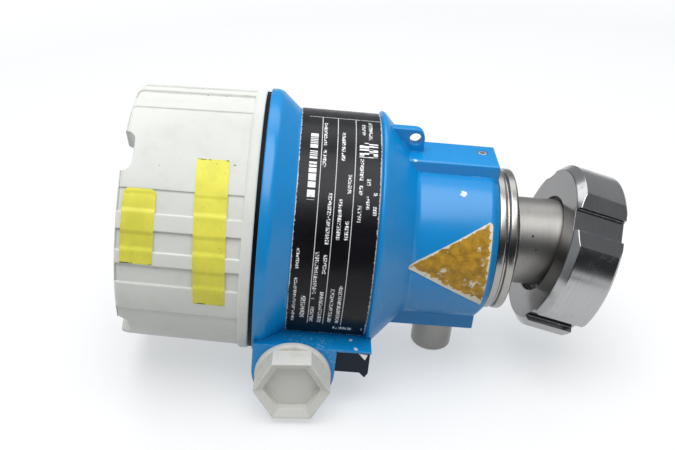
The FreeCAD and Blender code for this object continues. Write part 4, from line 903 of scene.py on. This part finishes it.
class TRANSMITTER_OT_housing(bpy.types.Operator):
    """Turns the housing and joins its chin, pads and lug to it"""
    bl_idname = "transmitter.housing"
    bl_label = "Housing"

    def execute(self, context):
        sizes = context.scene.transmitter_housing
        cone_end = RIDGE_END + sizes.cone_length
        chamfer = 3.0 * MM
        housing = lathe("housing_cast", [
            (SPIGOT_END, 0.0),
            (SPIGOT_END, sizes.spigot_radius),
            (SEAL_PLANE, sizes.spigot_radius),
            (SEAL_PLANE, sizes.flange_radius, 0.6 * MM),
            (SEAL_PLANE + 4.2 * MM, sizes.flange_radius, 1.4 * MM),
            (SEAL_PLANE + 12.4 * MM, sizes.barrel_radius, 0.8 * MM),
            (SEAL_PLANE + 44.5 * MM, sizes.barrel_radius),
            (SEAL_PLANE + 45.1 * MM, sizes.ridge_radius, 0.3 * MM),
            (RIDGE_END, sizes.ridge_radius, 0.8 * MM),
            (cone_end, sizes.neck_radius, 1.3 * MM),
            (NECK_END - chamfer, sizes.neck_radius, 0.9 * MM),
            (NECK_END, sizes.neck_radius - chamfer, 0.4 * MM),
            (NECK_END, 0.0),
        ])
        self.add_chin(housing, sizes)
        self.add_pads(housing, sizes)
        self.cut_spaces(housing, sizes)
        finish_piece(housing, blue_paint(), "housing", ["housing"])
        return {"FINISHED"}

    def add_chin(self, housing, sizes):
        """Joins the cable chin with its ledge."""
        left, right = CHIN_X - sizes.chin_radius, CHIN_X + sizes.chin_radius
        ledge_end, ledge_low = SEAL_PLANE + 47.2 * MM, -sizes.chin_top - 1.0 * MM
        turns = [math.pi * step / 40 for step in range(41)]
        bowl = [(CHIN_X - sizes.chin_radius * math.cos(turn), CHIN_Z - sizes.chin_radius * math.sin(turn))
                for turn in turns]
        outline = [(left, -sizes.chin_top)] + bowl
        outline += [(right, ledge_low), (ledge_end, ledge_low), (ledge_end, -sizes.chin_top)]
        chin = prism("chin", outline, -sizes.chin_reach, sizes.chin_reach)
        round_edges(chin, lambda edge: in_end(edge)
                    and all(vert.co.z < ledge_low - TINY for vert in edge.verts), 1.2 * MM, 4)
        combine(housing, chin, "UNION")

    def add_pads(self, housing, sizes):
        """Joins the two flat pads and the tag lug."""
        root = 20.0 * MM
        for name, half, low, high, start, end in (
                ("top_pad", sizes.top_pad_width / 2, root, sizes.top_pad, 37.0 * MM, 0.6 * MM),
                ("bottom_pad", sizes.bottom_pad_width / 2, -sizes.bottom_pad, -root, 40.0 * MM, 0.5 * MM)):
            start, end = NECK_END - start, NECK_END - end
            pad = prism(name, [(start, low), (end, low), (end, high), (start, high)], -half, half)
            outer = high if high > 0 else low
            round_edges(pad, lambda edge: all(abs(vert.co.z - outer) < TINY for vert in edge.verts),
                        1.1 * MM, 4)
            combine(housing, pad, "UNION")
        lug_start, lug_end = SEAL_PLANE + 49.0 * MM, SEAL_PLANE + 62.1 * MM
        lug = prism("lug", [
            (lug_start, sizes.neck_radius - 2.0 * MM), (lug_end, sizes.neck_radius - 2.0 * MM),
            (lug_end, sizes.lug_top), (lug_start, sizes.lug_top)],
            -sizes.lug_thickness / 2, sizes.lug_thickness / 2, (0.0, 0.0, 4.0 * MM, 0.0))
        round_edges(lug, in_end, 0.5 * MM, 3)
        combine(housing, lug, "UNION")

    def cut_spaces(self, housing, sizes):
        """Cuts the wiring space, the stem bore, the entries and the holes."""
        stem = bpy.context.scene.transmitter_connection.stem_radius + CLEARANCE
        space_end, stem_end = SEAL_PLANE + 38.0 * MM, NECK_END - 29.0 * MM
        lead_bore = 12.0 * MM
        space = lathe("space", [
            (SPIGOT_END - OVERCUT, 0.0),
            (SPIGOT_END - OVERCUT, sizes.cavity_radius),
            (space_end, sizes.cavity_radius),
            (space_end, lead_bore),
            (stem_end, lead_bore),
            (stem_end, stem),
            (NECK_END + OVERCUT, stem),
            (NECK_END + OVERCUT, 0.0),
        ], steps=128)
        combine(housing, space, "DIFFERENCE")
        reach = sizes.chin_reach + OVERCUT
        for radius, low, high, spot, axis, steps in (
                (sizes.entry_radius, -reach, reach, (CHIN_X, 0, CHIN_Z), "Z", 64),
                (sizes.lug_hole, -6.0 * MM, 6.0 * MM, TAG_PLACE, "Z", 48),
                (2.1 * MM, 0.0, 20.0 * MM, LOCK_PLACE, "Y", 48),
                (6.5 * MM, 0.0, 20.0 * MM, (VENT_X, 0, -21.0 * MM), "Y", 64)):
            drill = lathe("drill", [(low, 0.0), (low, radius), (high, radius), (high, 0.0)], steps=steps)
            place(drill, spot, axis, QUARTER)
            combine(housing, drill, "DIFFERENCE")


class TRANSMITTER_OT_nameplate(bpy.types.Operator):
    """Bends the nameplate round the barrel"""
    bl_idname = "transmitter.nameplate"
    bl_label = "Nameplate"

    def execute(self, context):
        sizes = context.scene.transmitter_fittings
        radius = context.scene.transmitter_housing.barrel_radius + FILM_GAP
        start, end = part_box("nameplate")[0][0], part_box("nameplate")[1][0]
        line = [(start, 0, radius), (end, 0, radius)]
        plate = bend_strip("nameplate_foil", line, 7, PLATE_HIGH, PLATE_LOW, 185)
        thicken(plate, sizes.plate_thickness)
        bevel_edges(plate, 0.1 * MM, 1, math.radians(60))
        finish_piece(plate, plate_print(), "housing", ["nameplate"])
        return {"FINISHED"}


class TRANSMITTER_OT_blind_plug(bpy.types.Operator):
    """Turns the blind plug and raises its hollow hexagon"""
    bl_idname = "transmitter.blind_plug"
    bl_label = "Blind plug"

    def execute(self, context):
        sizes = context.scene.transmitter_fittings
        entry = context.scene.transmitter_housing.entry_radius - CLEARANCE
        thread, flange, sunk = 13.0 * MM, 2.6 * MM, 0.6 * MM
        plug = lathe("blind_plug_moulding", [
            (-thread, 0.0),
            (-thread, entry, 0.8 * MM),
            (0.0, entry),
            (0.0, sizes.plug_flange, 0.4 * MM),
            (flange, sizes.plug_flange, 1.1 * MM),
            (flange, 0.0),
        ], steps=128)
        place(plug, axis="Y", turn=-QUARTER)
        bpy.ops.object.select_all(action="DESELECT")
        bpy.ops.mesh.primitive_circle_add(
            vertices=6, radius=sizes.plug_hexagon / math.sqrt(3), fill_type="NGON",
            location=(0, 0, flange - sunk))
        head = bpy.context.object
        keep_place()
        edit(head)
        pick_all()
        extrude((0, 0, sizes.plug_height + sunk))
        for width, depth in ((0.5, 0.0), (2.7, -1.6), (0.3, -3.0)):
            bpy.ops.mesh.inset(thickness=width * MM, depth=depth * MM)
        pick_all()
        bpy.ops.mesh.normals_make_consistent(inside=False)
        crest = flange + sizes.plug_height - 2.0 * MM
        round_edges(head, lambda edge: min(vert.co.z for vert in edge.verts) > crest, 0.24 * MM, 3)
        place(head, axis="Z", turn=math.radians(30) + sizes.plug_turn)
        combine(plug, head, "UNION")
        place(plug, (CHIN_X, -context.scene.transmitter_housing.chin_reach, CHIN_Z), "X", QUARTER)
        finish_piece(plug, plug_plastic(), "blind_plug", ["blind_plug"], 32.0)
        return {"FINISHED"}


class TRANSMITTER_OT_vent_cap(bpy.types.Operator):
    """Turns the steel vent cap under the neck"""
    bl_idname = "transmitter.vent_cap"
    bl_label = "Vent cap"

    def execute(self, context):
        sizes = context.scene.transmitter_fittings
        finishes = context.scene.transmitter_finishes
        stem_end, stem = -8.0 * MM, 6.4 * MM
        seat, lip = 1.2 * MM, 7.6 * MM
        hollow, hole = 4.5 * MM, 0.6 * MM
        hollow_end = sizes.vent_length - 3.0 * MM
        cap = lathe("vent_cap_turned", [
            (stem_end, hollow),
            (stem_end, stem, 0.4 * MM),
            (seat, stem),
            (seat, lip),
            (0.0, lip),
            (0.0, sizes.vent_radius, 0.4 * MM),
            (sizes.vent_length, sizes.vent_radius, 2.0 * MM),
            (sizes.vent_length, hole, 0.2 * MM),
            (hollow_end, hole),
            (hollow_end, hollow),
        ], steps=96)
        spot = (VENT_X, 0, -context.scene.transmitter_housing.bottom_pad)
        place(cap, spot, "Y", QUARTER)
        # Painted shade: the cap's steel is made darker than the other steel, standing in for the shade under
        # the neck.
        tint = scaled(finishes.steel, 0.62)
        material = turned_steel("cap_steel_shaded", tint, 0.20, 0.28, tilt=QUARTER, centre=spot)
        finish_piece(cap, material, "housing", ["vent_cap"])
        return {"FINISHED"}


# Places and radii of small pits in the tube, in millimetres.
LINER_PITS = (((-32.94, -14.91, 10.26), 0.55), ((-31.20, -17.31, 5.27), 0.45))


class TRANSMITTER_OT_sensor_neck(bpy.types.Operator):
    """Turns the sensor body with its two rings, and the liner"""
    bl_idname = "transmitter.sensor_neck"
    bl_label = "Sensor neck"

    def execute(self, context):
        sizes = context.scene.transmitter_connection
        finishes = context.scene.transmitter_finishes
        first = NECK_END + sizes.ring_width
        second = first + sizes.ring_gap
        rings_end = second + sizes.ring_width
        groove = sizes.ring_radius - 1.3 * MM
        stem_end, cell_end = NECK_END - 28.7 * MM, NECK_END - 5.0 * MM
        cell_bore, duct = 14.0 * MM, 1.0 * MM
        body = lathe("sensor_body_turned", [
            (stem_end, cell_bore),
            (stem_end, sizes.stem_radius, 0.5 * MM),
            (NECK_END, sizes.stem_radius),
            (NECK_END, sizes.ring_radius, 0.9 * MM),
            (first, sizes.ring_radius, 1.1 * MM),
            (first, groove, 0.2 * MM),
            (second, groove, 0.2 * MM),
            (second, sizes.ring_radius, 1.1 * MM),
            (rings_end, sizes.ring_radius, 1.0 * MM),
            (rings_end, sizes.shoulder_radius, 0.4 * MM),
            (SENSOR_FACE - 1.2 * MM, 19.4 * MM, 2.0 * MM),
            (SENSOR_FACE, sizes.tube_radius),
            (SENSOR_FACE, duct),
            (cell_end, duct),
            (cell_end, cell_bore),
        ])
        material = turned_steel("neck_steel", scaled(finishes.steel, 0.8), 0.18, 0.34)
        finish_piece(body, material, "process_connection", ["sensor_body"])
        collar_back, cone_start = -13.5 * MM, -12.7 * MM
        tip = sizes.collar_radius + cone_start * math.tan(math.radians(15))
        disc_seat, disc_radius = -0.5 * MM, 16.7 * MM
        liner = lathe("liner_turned", [
            (SENSOR_FACE, duct),
            (SENSOR_FACE, sizes.tube_radius),
            (collar_back, sizes.tube_radius, 0.5 * MM),
            (collar_back, sizes.collar_radius, 0.2 * MM),
            (cone_start, sizes.collar_radius, 0.2 * MM),
            (0.0, tip, 0.5 * MM),
            (0.0, disc_radius, 0.1 * MM),
            (disc_seat, disc_radius),
            (disc_seat, duct),
        ])
        tint = scaled(finishes.steel, 0.64)
        material = turned_steel("liner_steel", tint, 0.40, 0.50, 1900.0, pits=LINER_PITS)
        finish_piece(liner, material, "process_connection", ["process_liner"])
        return {"FINISHED"}


class TRANSMITTER_OT_union_nut(bpy.types.Operator):
    """Turns the union nut, cuts its slots and hangs it on the liner"""
    bl_idname = "transmitter.union_nut"
    bl_label = "Union nut"

    def execute(self, context):
        sizes = context.scene.transmitter_connection
        finishes = context.scene.transmitter_finishes
        back_chamfer, front_chamfer = 3.0 * MM, 1.0 * MM
        profile = [
            (0.0, sizes.web_bore, 0.4 * MM),
            (0.0, sizes.nut_radius - back_chamfer),
            (back_chamfer, sizes.nut_radius),
            (sizes.nut_length - front_chamfer, sizes.nut_radius, 0.3 * MM),
            (sizes.nut_length, sizes.nut_radius - front_chamfer, 0.2 * MM),
            (sizes.nut_length, sizes.thread_radius + 1.6 * MM, 0.2 * MM),
        ]
        pitch = 4.2 * MM
        along = sizes.nut_length - 1.2 * MM
        while along - pitch > sizes.web_thickness + 1.5 * MM:
            profile.append((along, sizes.thread_radius, 0.5 * MM))
            profile.append((along - pitch * 0.5, sizes.thread_radius + 2.0 * MM, 0.5 * MM))
            along -= pitch
        profile.append((along, sizes.thread_radius, 0.3 * MM))
        profile.append((sizes.web_thickness, sizes.thread_radius, 0.4 * MM))
        profile.append((sizes.web_thickness, sizes.web_bore, 0.4 * MM))
        nut = lathe("union_nut_turned", profile, segments=3)
        outer = sizes.nut_radius + 5.0 * MM
        low, high = -OVERCUT, sizes.nut_length + OVERCUT
        for name, depth, half in (("slot", sizes.slot_depth, sizes.slot_width / 2),
                                  ("flat", sizes.flat_depth, sizes.nut_radius / 2)):
            floor = sizes.nut_radius - depth
            tool = prism(name, [(low, floor), (high, floor), (high, outer), (low, outer)], -half, half)
            leave_edit()
            place(tool, turn=sizes.slot_angle)
            combine(nut, ring_of_copies(tool, 4, QUARTER), "DIFFERENCE")
        bevel_edges(nut, 0.2 * MM, 2, math.radians(20))
        place(nut, NUT_PLACE, "Y", sizes.nut_tilt)
        # The nut's web face gets a painted shade, darker than the rest of its steel.
        material = turned_steel("nut_steel", finishes.nut, 0.13, 0.24, 1700.0, sizes.nut_tilt, NUT_PLACE,
                                painted_shade_end=0.3 * MM)
        finish_piece(nut, material, "union_nut", ["union_nut"])
        return {"FINISHED"}


# Middle and half width in degrees from a land, and depth in millimetres.
SAGS = ((1.0, 25.5, 0.36), (21.5, 5.0, 0.62), (38.0, 4.5, 0.55), (53.0, 4.5, 0.55))


class TRANSMITTER_OT_tapes(bpy.types.Operator):
    """Lays two blank tapes on the lid"""
    bl_idname = "transmitter.tapes"
    bl_label = "Tapes"

    def execute(self, context):
        finishes = context.scene.transmitter_finishes
        material = film_material("tape_yellow", finishes.tape, (0.62, 0.55, 0.05), -0.06)
        soiled = film_material("tape_soiled", finishes.tape, (0.10, 0.09, 0.02), 0.10)
        films = (material, soiled)
        self.lay("front_tape", (-192.0, -180.0), (-192.0, -180.0), 53.0, 84.4, 1.5 * MM, films)
        self.lay("middle_tape", (-166.6, -154.6), (-164.7, -152.9), 38.5, 101.5, 0.3 * MM, films)
        return {"FINISHED"}

    def lay(self, name, first, last, start, end, clipped, materials):
        """Spins a strip over the grip and lets it run aslant and sag into the grooves."""
        scene = bpy.context.scene
        lid = scene.transmitter_lid
        steps = int(round(end - start)) * 2

        def grip(along):
            share = (along - LID_FRONT) / (LID_RIM - lid.band_width - LID_FRONT)
            return lid.front_radius + (lid.grip_radius - lid.front_radius) * share + FILM_GAP
        points = [(along * MM, 0, grip(along * MM)) for along in first]
        tape = bend_strip(name, points, 11, start, end, steps)
        drift = (last[0] - first[0]) * MM
        groove = math.degrees(lid.land_angle)
        edit(tape)
        for step in range(steps + 1):
            turn = start + (end - start) * step / steps
            pick(tape, "VERT", lambda vert: abs(turn_of(vert.co) - turn) < 0.1)
            share = (turn - start) / (end - start)
            offset = (turn - groove) % QUARTER_TURN
            sunk = 0.0
            for middle, half, depth in SAGS:
                edge = min(1.0, max(0.0, (half - 0.3 - abs(offset - middle)) / 1.6))
                sunk = max(sunk, depth * edge)
            draw_in(sunk * MM, lid.grip_radius)
            bpy.ops.transform.translate(value=(drift * share, 0, 0))
        top = math.radians(start)
        outwards = Vector((0, -math.sin(top), math.cos(top)))
        down = Vector((0, -math.cos(top), -math.sin(top)))
        for corner, inwards in zip(points, (1.0, -1.0)):
            point = Vector((corner[0] + inwards * clipped, 0, 0)) + outwards * corner[2]
            trim(point, (down + Vector((inwards, 0, 0))).normalized())
        leave_edit()
        thicken(tape, scene.transmitter_fittings.film_thickness)
        finish_piece(tape, materials[0], "lid")
        tape.data.materials.append(materials[1])
        for face in tape.data.polygons:
            turn = turn_of(face.center)
            to_side = min(abs(face.center.x - corner[0]) for corner in points)
            near_corner = turn < start + 2.0 and to_side < clipped
            face.material_index = int(turn < start + 0.5 or turn > end - 0.5 or near_corner)


class TRANSMITTER_OT_small_steel(bpy.types.Operator):
    """Turns the set screw in the upper pad and lays the clamp's tongue on the ground block"""
    bl_idname = "transmitter.small_steel"
    bl_label = "Set screw and clamp tongue"

    def execute(self, context):
        finishes = context.scene.transmitter_finishes
        material = turned_steel("small_steel", scaled(finishes.steel, 1.5), 0.3, 0.42)
        low, high = [list(corner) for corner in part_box("lock_screw")]
        high[2] = context.scene.transmitter_housing.top_pad - 0.15 * MM
        radius = (high[0] - low[0]) / 2
        tip, crown, soft = 0.4 * MM, 0.3 * MM, 0.1 * MM
        screw = lathe("set_screw", [
            (low[2], 0.0),
            (low[2], radius - tip, soft),
            (low[2] + tip, radius, soft),
            (high[2] - crown, radius, soft),
            (high[2], radius - crown, soft),
            (high[2], 0.0),
        ], steps=64)
        key, mouth = radius * 0.56, high[2] + 1.0 * MM
        socket = lathe("socket", [
            (high[2] - 2.0 * MM, 0.0),
            (high[2] - 1.6 * MM, key),
            (mouth, key),
            (mouth, 0.0),
        ], steps=6)
        combine(screw, socket, "DIFFERENCE")
        place(screw, axis="Y", turn=-QUARTER)
        place(screw, ((low[0] + high[0]) / 2, (low[1] + high[1]) / 2, 0))
        finish_piece(screw, material, "housing", ["lock_screw"])
        block_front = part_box("ground_block")[0][1]
        outline = [(-100.0 * MM, -30.7 * MM), (-96.3 * MM, -31.0 * MM), (-97.2 * MM, -33.7 * MM)]
        tongue = prism("clamp_tongue", outline, block_front - 0.5 * MM, block_front + 0.3 * MM,
                       (0.1 * MM, 0.4 * MM, 0.4 * MM))
        leave_edit()
        bevel_edges(tongue, 0.1 * MM, 2)
        finish_piece(tongue, material, "housing")
        return {"FINISHED"}


# Corners by millimetres along the axis and degrees from the top, and how far each side is torn.
STICKER_CORNERS = ((-85.0, 86.0), (-52.6, 50.3), (-51.0, 117.0))
STICKER_ROUNDING = 1.2 * MM
TORN_SIDES = (0.9, 1.6, 2.2)


class TRANSMITTER_OT_sticker(bpy.types.Operator):
    """Lays a blank worn triangle on the neck"""
    bl_idname = "transmitter.sticker"
    bl_label = "Sticker"

    def execute(self, context):
        finishes = context.scene.transmitter_finishes
        radius = context.scene.transmitter_housing.neck_radius + STICKER_GAP
        crease = RIDGE_END + context.scene.transmitter_housing.cone_length
        profile = [(crease - 4.0 * MM, 0, radius + 4.4 * MM), (crease - 1.1 * MM, 0, radius + 1.25 * MM),
                   (crease, 0, radius + 0.38 * MM), (crease + 1.4 * MM, 0, radius), (-52.4 * MM, 0, radius)]
        sheet = bend_strip("neck_sticker", profile, 11, 38.0, 118.0, 80)
        corners = []
        for along, degrees in STICKER_CORNERS:
            turn = math.radians(degrees)
            corners.append(Vector((along * MM, -math.sin(turn) * radius, math.cos(turn) * radius)))
        centre = sum(corners, Vector()) / 3
        edit(sheet)
        view = Vector((0, -1, 0.28)).normalized()
        sides = []
        for first, second in ((0, 1), (1, 2), (2, 0)):
            normal = (corners[second] - corners[first]).cross(view).normalized()
            facing = normal.dot(centre - corners[first]) > 0
            sides.append((corners[first], normal if facing else -normal))
        cuts = list(sides)
        for corner in corners:
            towards = (centre - corner).normalized()
            flat = (towards - view * towards.dot(view)).normalized()
            middle = corner + flat * 2.0 * STICKER_ROUNDING
            for degrees in (-40, -14, 14, 40):
                inwards = Matrix.Rotation(math.radians(degrees), 3, view) @ flat
                cuts.append((middle - inwards * STICKER_ROUNDING, inwards))
        for point, normal in cuts:
            trim(point, normal)
        pick_all()
        bpy.ops.mesh.remove_doubles(threshold=TINY)
        leave_edit()
        thicken(sheet, context.scene.transmitter_fittings.film_thickness)
        material = film_material("sticker_ochre", finishes.sticker, finishes.backing, 0.05, 330.0, 0.34,
                                 zip(sides, TORN_SIDES))
        finish_piece(sheet, material, "housing")
        return {"FINISHED"}


class TRANSMITTER_OT_kept_pieces(bpy.types.Operator):
    """Gives the remaining small and inner pieces their finishes"""
    bl_idname = "transmitter.kept_pieces"
    bl_label = "Small and inner pieces"

    def execute(self, context):
        finishes = context.scene.transmitter_finishes
        rubber = plain_plastic("seal_rubber", finishes.rubber, 0.55, sheen=0.12)
        block = plain_plastic("terminal_dark", finishes.block, 0.45, sheen=0.22)
        gland = plain_plastic("gland_plastic", scaled(finishes.plug, 0.9), 0.5)
        screw = turned_steel("screw_steel", finishes.steel, 0.26, 0.4)
        module = plain_plastic("module_plastic", (0.04, 0.045, 0.05), 0.5)
        green = plain_plastic("terminal_green", (0.03, 0.22, 0.10), 0.45)
        white = plain_plastic("membrane_white", (0.8, 0.8, 0.78), 0.8, 2600.0)
        disc = turned_steel("disc_steel", finishes.steel, 0.18, 0.3, 1500.0)
        for material, names in (
                (rubber, ("lid_seal", "blind_plug_seal", "gland_seal", "gland_insert", "vent_seal",
                          "first_o_ring", "second_o_ring")),
                (gland, ("gland_body", "gland_nut")),
                (block, ("ground_block", "sensor_plug")),
                (screw, ("ground_clamp", "ground_screw", "module_screws", "terminal_screws",
                         "measuring_cell")),
                (disc, ("isolating_diaphragm",)),
                (module, ("electronics_module", "sensor_lead")),
                (green, ("terminal_block",)),
                (white, ("vent_membrane",))):
            for name in names:
                for slot in bpy.data.objects[name].material_slots:
                    slot.material = material
        return {"FINISHED"}


class TRANSMITTER_OT_stage(bpy.types.Operator):
    """Sets up the table, the light and the camera"""
    bl_idname = "transmitter.stage"
    bl_label = "Stage"

    def execute(self, context):
        scene = context.scene
        for name in ("Cube", "Light", "Camera"):
            if name in bpy.data.objects:
                bpy.data.objects.remove(bpy.data.objects[name])
        scene.view_settings.view_transform = "Standard"
        self.lay_floor(scene)
        self.hang_lights(scene)
        self.set_camera(scene)
        return {"FINISHED"}

    def lay_floor(self, scene):
        """White table top on which the chin and the vent cap stand."""
        floor = add_plane("table", 8.0)
        place(floor, (CHIN_X, 0, TABLE_HEIGHT), "Y", -math.atan2(STAND_RISE, STAND_SPAN))
        tint = scene.transmitter_finishes.floor
        settings = {"Roughness": 0.6, "Specular IOR Level": 0.2, "Emission Color": (0.95, 0.98, 1.0, 1.0)}
        material, shader, coords = start_material("table_white", settings)
        base = blend_colour(noise(coords, 6.0), scaled(tint, 0.99), scaled(tint, 1.01))
        link_or_set(shader.inputs["Base Color"], base)
        path = node(shader.id_data, "ShaderNodeLightPath").outputs
        seen = larger(path["Is Camera Ray"], larger(path["Is Glossy Ray"], path["Is Transmission Ray"]))
        far = span(vector_maths("LENGTH", coords), 0.50, 1.20, 0.0, 0.42)
        glow = maths("ADD", span(seen, 0.0, 1.0, 0.10, 0.54), product(far, path["Is Camera Ray"]))
        link_or_set(shader.inputs["Emission Strength"], glow)
        floor.data.materials.append(material)
        self.dark_card()
        self.dim_panel()

    def dim_panel(self):
        """Dim panel at the upper right, which the nut's flats mirror."""
        panel = add_plane("dim_panel", 0.9)
        panel.location = (0.68, -0.27, 0.88)
        panel.rotation_euler = panel.location.to_track_quat("Z", "Y").to_euler()
        keep_place()
        dark, pale = (0.28, 0.29, 0.31, 1.0), (0.36, 0.37, 0.39, 1.0)
        return self.only_mirrored(panel, "panel_dim", 5.0, dark, pale)

    def dark_card(self):
        """Dark apron in front of the table and behind the camera, which the steel mirrors."""
        card = add_plane("dark_card", 1.0)
        card.scale = (2.4, 0.42, 1.0)
        card.location = (-0.05, -0.43, -0.045)
        keep_place()
        edit(card)
        pick(card, "EDGE", lambda edge: all(vert.co.y < -0.6 for vert in edge.verts))
        extrude((0, -0.02, 0.46))
        leave_edit()
        dark, pale = (0.010, 0.013, 0.018, 1.0), (0.022, 0.026, 0.034, 1.0)
        return self.only_mirrored(card, "card_dark", 8.0, dark, pale)

    def only_mirrored(self, card, name, grain, dark, pale):
        """Gives a card a plain matt finish and shows it only to what mirrors it."""
        material, shader, coords = start_material(name, {"Roughness": 0.9})
        link_or_set(shader.inputs["Base Color"], blend_colour(noise(coords, grain), dark, pale))
        card.data.materials.append(material)
        card.visible_camera = False
        card.visible_shadow = False
        card.visible_diffuse = False
        return card

    def hang_lights(self, scene):
        """Large soft lights above and behind, and even light from all sides."""
        studio = scene.transmitter_studio
        scene.world = bpy.data.worlds.new("studio_air")
        scene.world.use_nodes = True
        air = scene.world.node_tree.nodes["Background"]
        air.inputs["Color"].default_value = (0.92, 0.96, 1.0, 1.0)
        path = node(scene.world.node_tree, "ShaderNodeLightPath").outputs
        mirrored = larger(path["Is Glossy Ray"], path["Is Transmission Ray"])
        strength = maths("ADD", studio.fill, product(mirrored, studio.mirrored - studio.fill))
        link_or_set(air.inputs["Strength"], larger(strength, path["Is Camera Ray"]))
        for name, power, wide, deep, spot in (
                ("key", studio.key, 0.95, 0.90, (-0.20, -0.24, 0.92)),
                ("back", studio.back, 1.10, 0.50, (-0.10, 0.55, 0.80))):
            lamp = bpy.data.lights.new(name, "AREA")
            lamp.shape = "RECTANGLE"
            lamp.size = wide
            lamp.size_y = deep
            lamp.energy = power
            light = bpy.data.objects.new(name, lamp)
            scene.collection.objects.link(light)
            light.location = spot
            aim = Vector((-0.10, 0.0, 0.0)) - Vector(spot)
            light.rotation_euler = aim.to_track_quat("-Z", "Y").to_euler()

    def set_camera(self, scene):
        """Camera at the photograph's place, with its roll."""
        studio = scene.transmitter_studio
        data = bpy.data.cameras.new("camera")
        data.lens = 53.87
        data.sensor_width = 36.0
        data.sensor_fit = "HORIZONTAL"
        data.clip_start = 0.01
        data.clip_end = 50.0
        camera = bpy.data.objects.new("camera", data)
        scene.collection.objects.link(camera)
        target = Vector((-0.111, 0.0, 0.0))
        to_camera = Vector((-math.sin(studio.yaw), -math.cos(studio.yaw) * math.cos(studio.elevation),
                            math.cos(studio.yaw) * math.sin(studio.elevation))).normalized()
        forward = -to_camera
        side = forward.cross(Vector((0, 0, 1))).normalized()
        rise = side.cross(forward)
        right = side * math.cos(studio.roll) + rise * math.sin(studio.roll)
        up = rise * math.cos(studio.roll) - side * math.sin(studio.roll)
        turn = Matrix((right, up, to_camera)).transposed()
        camera.matrix_world = Matrix.Translation(target + to_camera * studio.distance) @ turn.to_4x4()
        scene.camera = camera


class TRANSMITTER_PT_pieces(bpy.types.Panel):
    """Lists the pieces of the transmitter"""
    bl_idname = "TRANSMITTER_PT_pieces"
    bl_label = "Pressure transmitter"
    bl_space_type = "VIEW_3D"
    bl_region_type = "UI"
    bl_category = "Transmitter"

    def draw(self, context):
        for operator in OPERATORS:
            self.layout.operator(operator.bl_idname)


OPERATORS = (
    TRANSMITTER_OT_housing, TRANSMITTER_OT_lid, TRANSMITTER_OT_nameplate, TRANSMITTER_OT_blind_plug,
    TRANSMITTER_OT_vent_cap, TRANSMITTER_OT_sensor_neck, TRANSMITTER_OT_union_nut,
    TRANSMITTER_OT_small_steel, TRANSMITTER_OT_tapes, TRANSMITTER_OT_sticker,
    TRANSMITTER_OT_kept_pieces, TRANSMITTER_OT_stage,
)
GROUPS = {
    "transmitter_lid": LidSizes,
    "transmitter_housing": HousingSizes,
    "transmitter_fittings": FittingSizes,
    "transmitter_connection": ConnectionSizes,
    "transmitter_finishes": Finishes,
    "transmitter_studio": Studio,
}


def register():
    for group in GROUPS.values():
        bpy.utils.register_class(group)
    for name, group in GROUPS.items():
        setattr(bpy.types.Scene, name, PointerProperty(type=group))
    for operator in OPERATORS:
        bpy.utils.register_class(operator)
    bpy.utils.register_class(TRANSMITTER_PT_pieces)


def unregister():
    bpy.utils.unregister_class(TRANSMITTER_PT_pieces)
    for operator in reversed(OPERATORS):
        bpy.utils.unregister_class(operator)
    for name in GROUPS:
        delattr(bpy.types.Scene, name)
    for group in reversed(list(GROUPS.values())):
        bpy.utils.unregister_class(group)


def main():
    register()
    for operator in OPERATORS:
        group, name = operator.bl_idname.split(".")
        getattr(getattr(bpy.ops, group), name)()


if __name__ == "__main__":
    main()
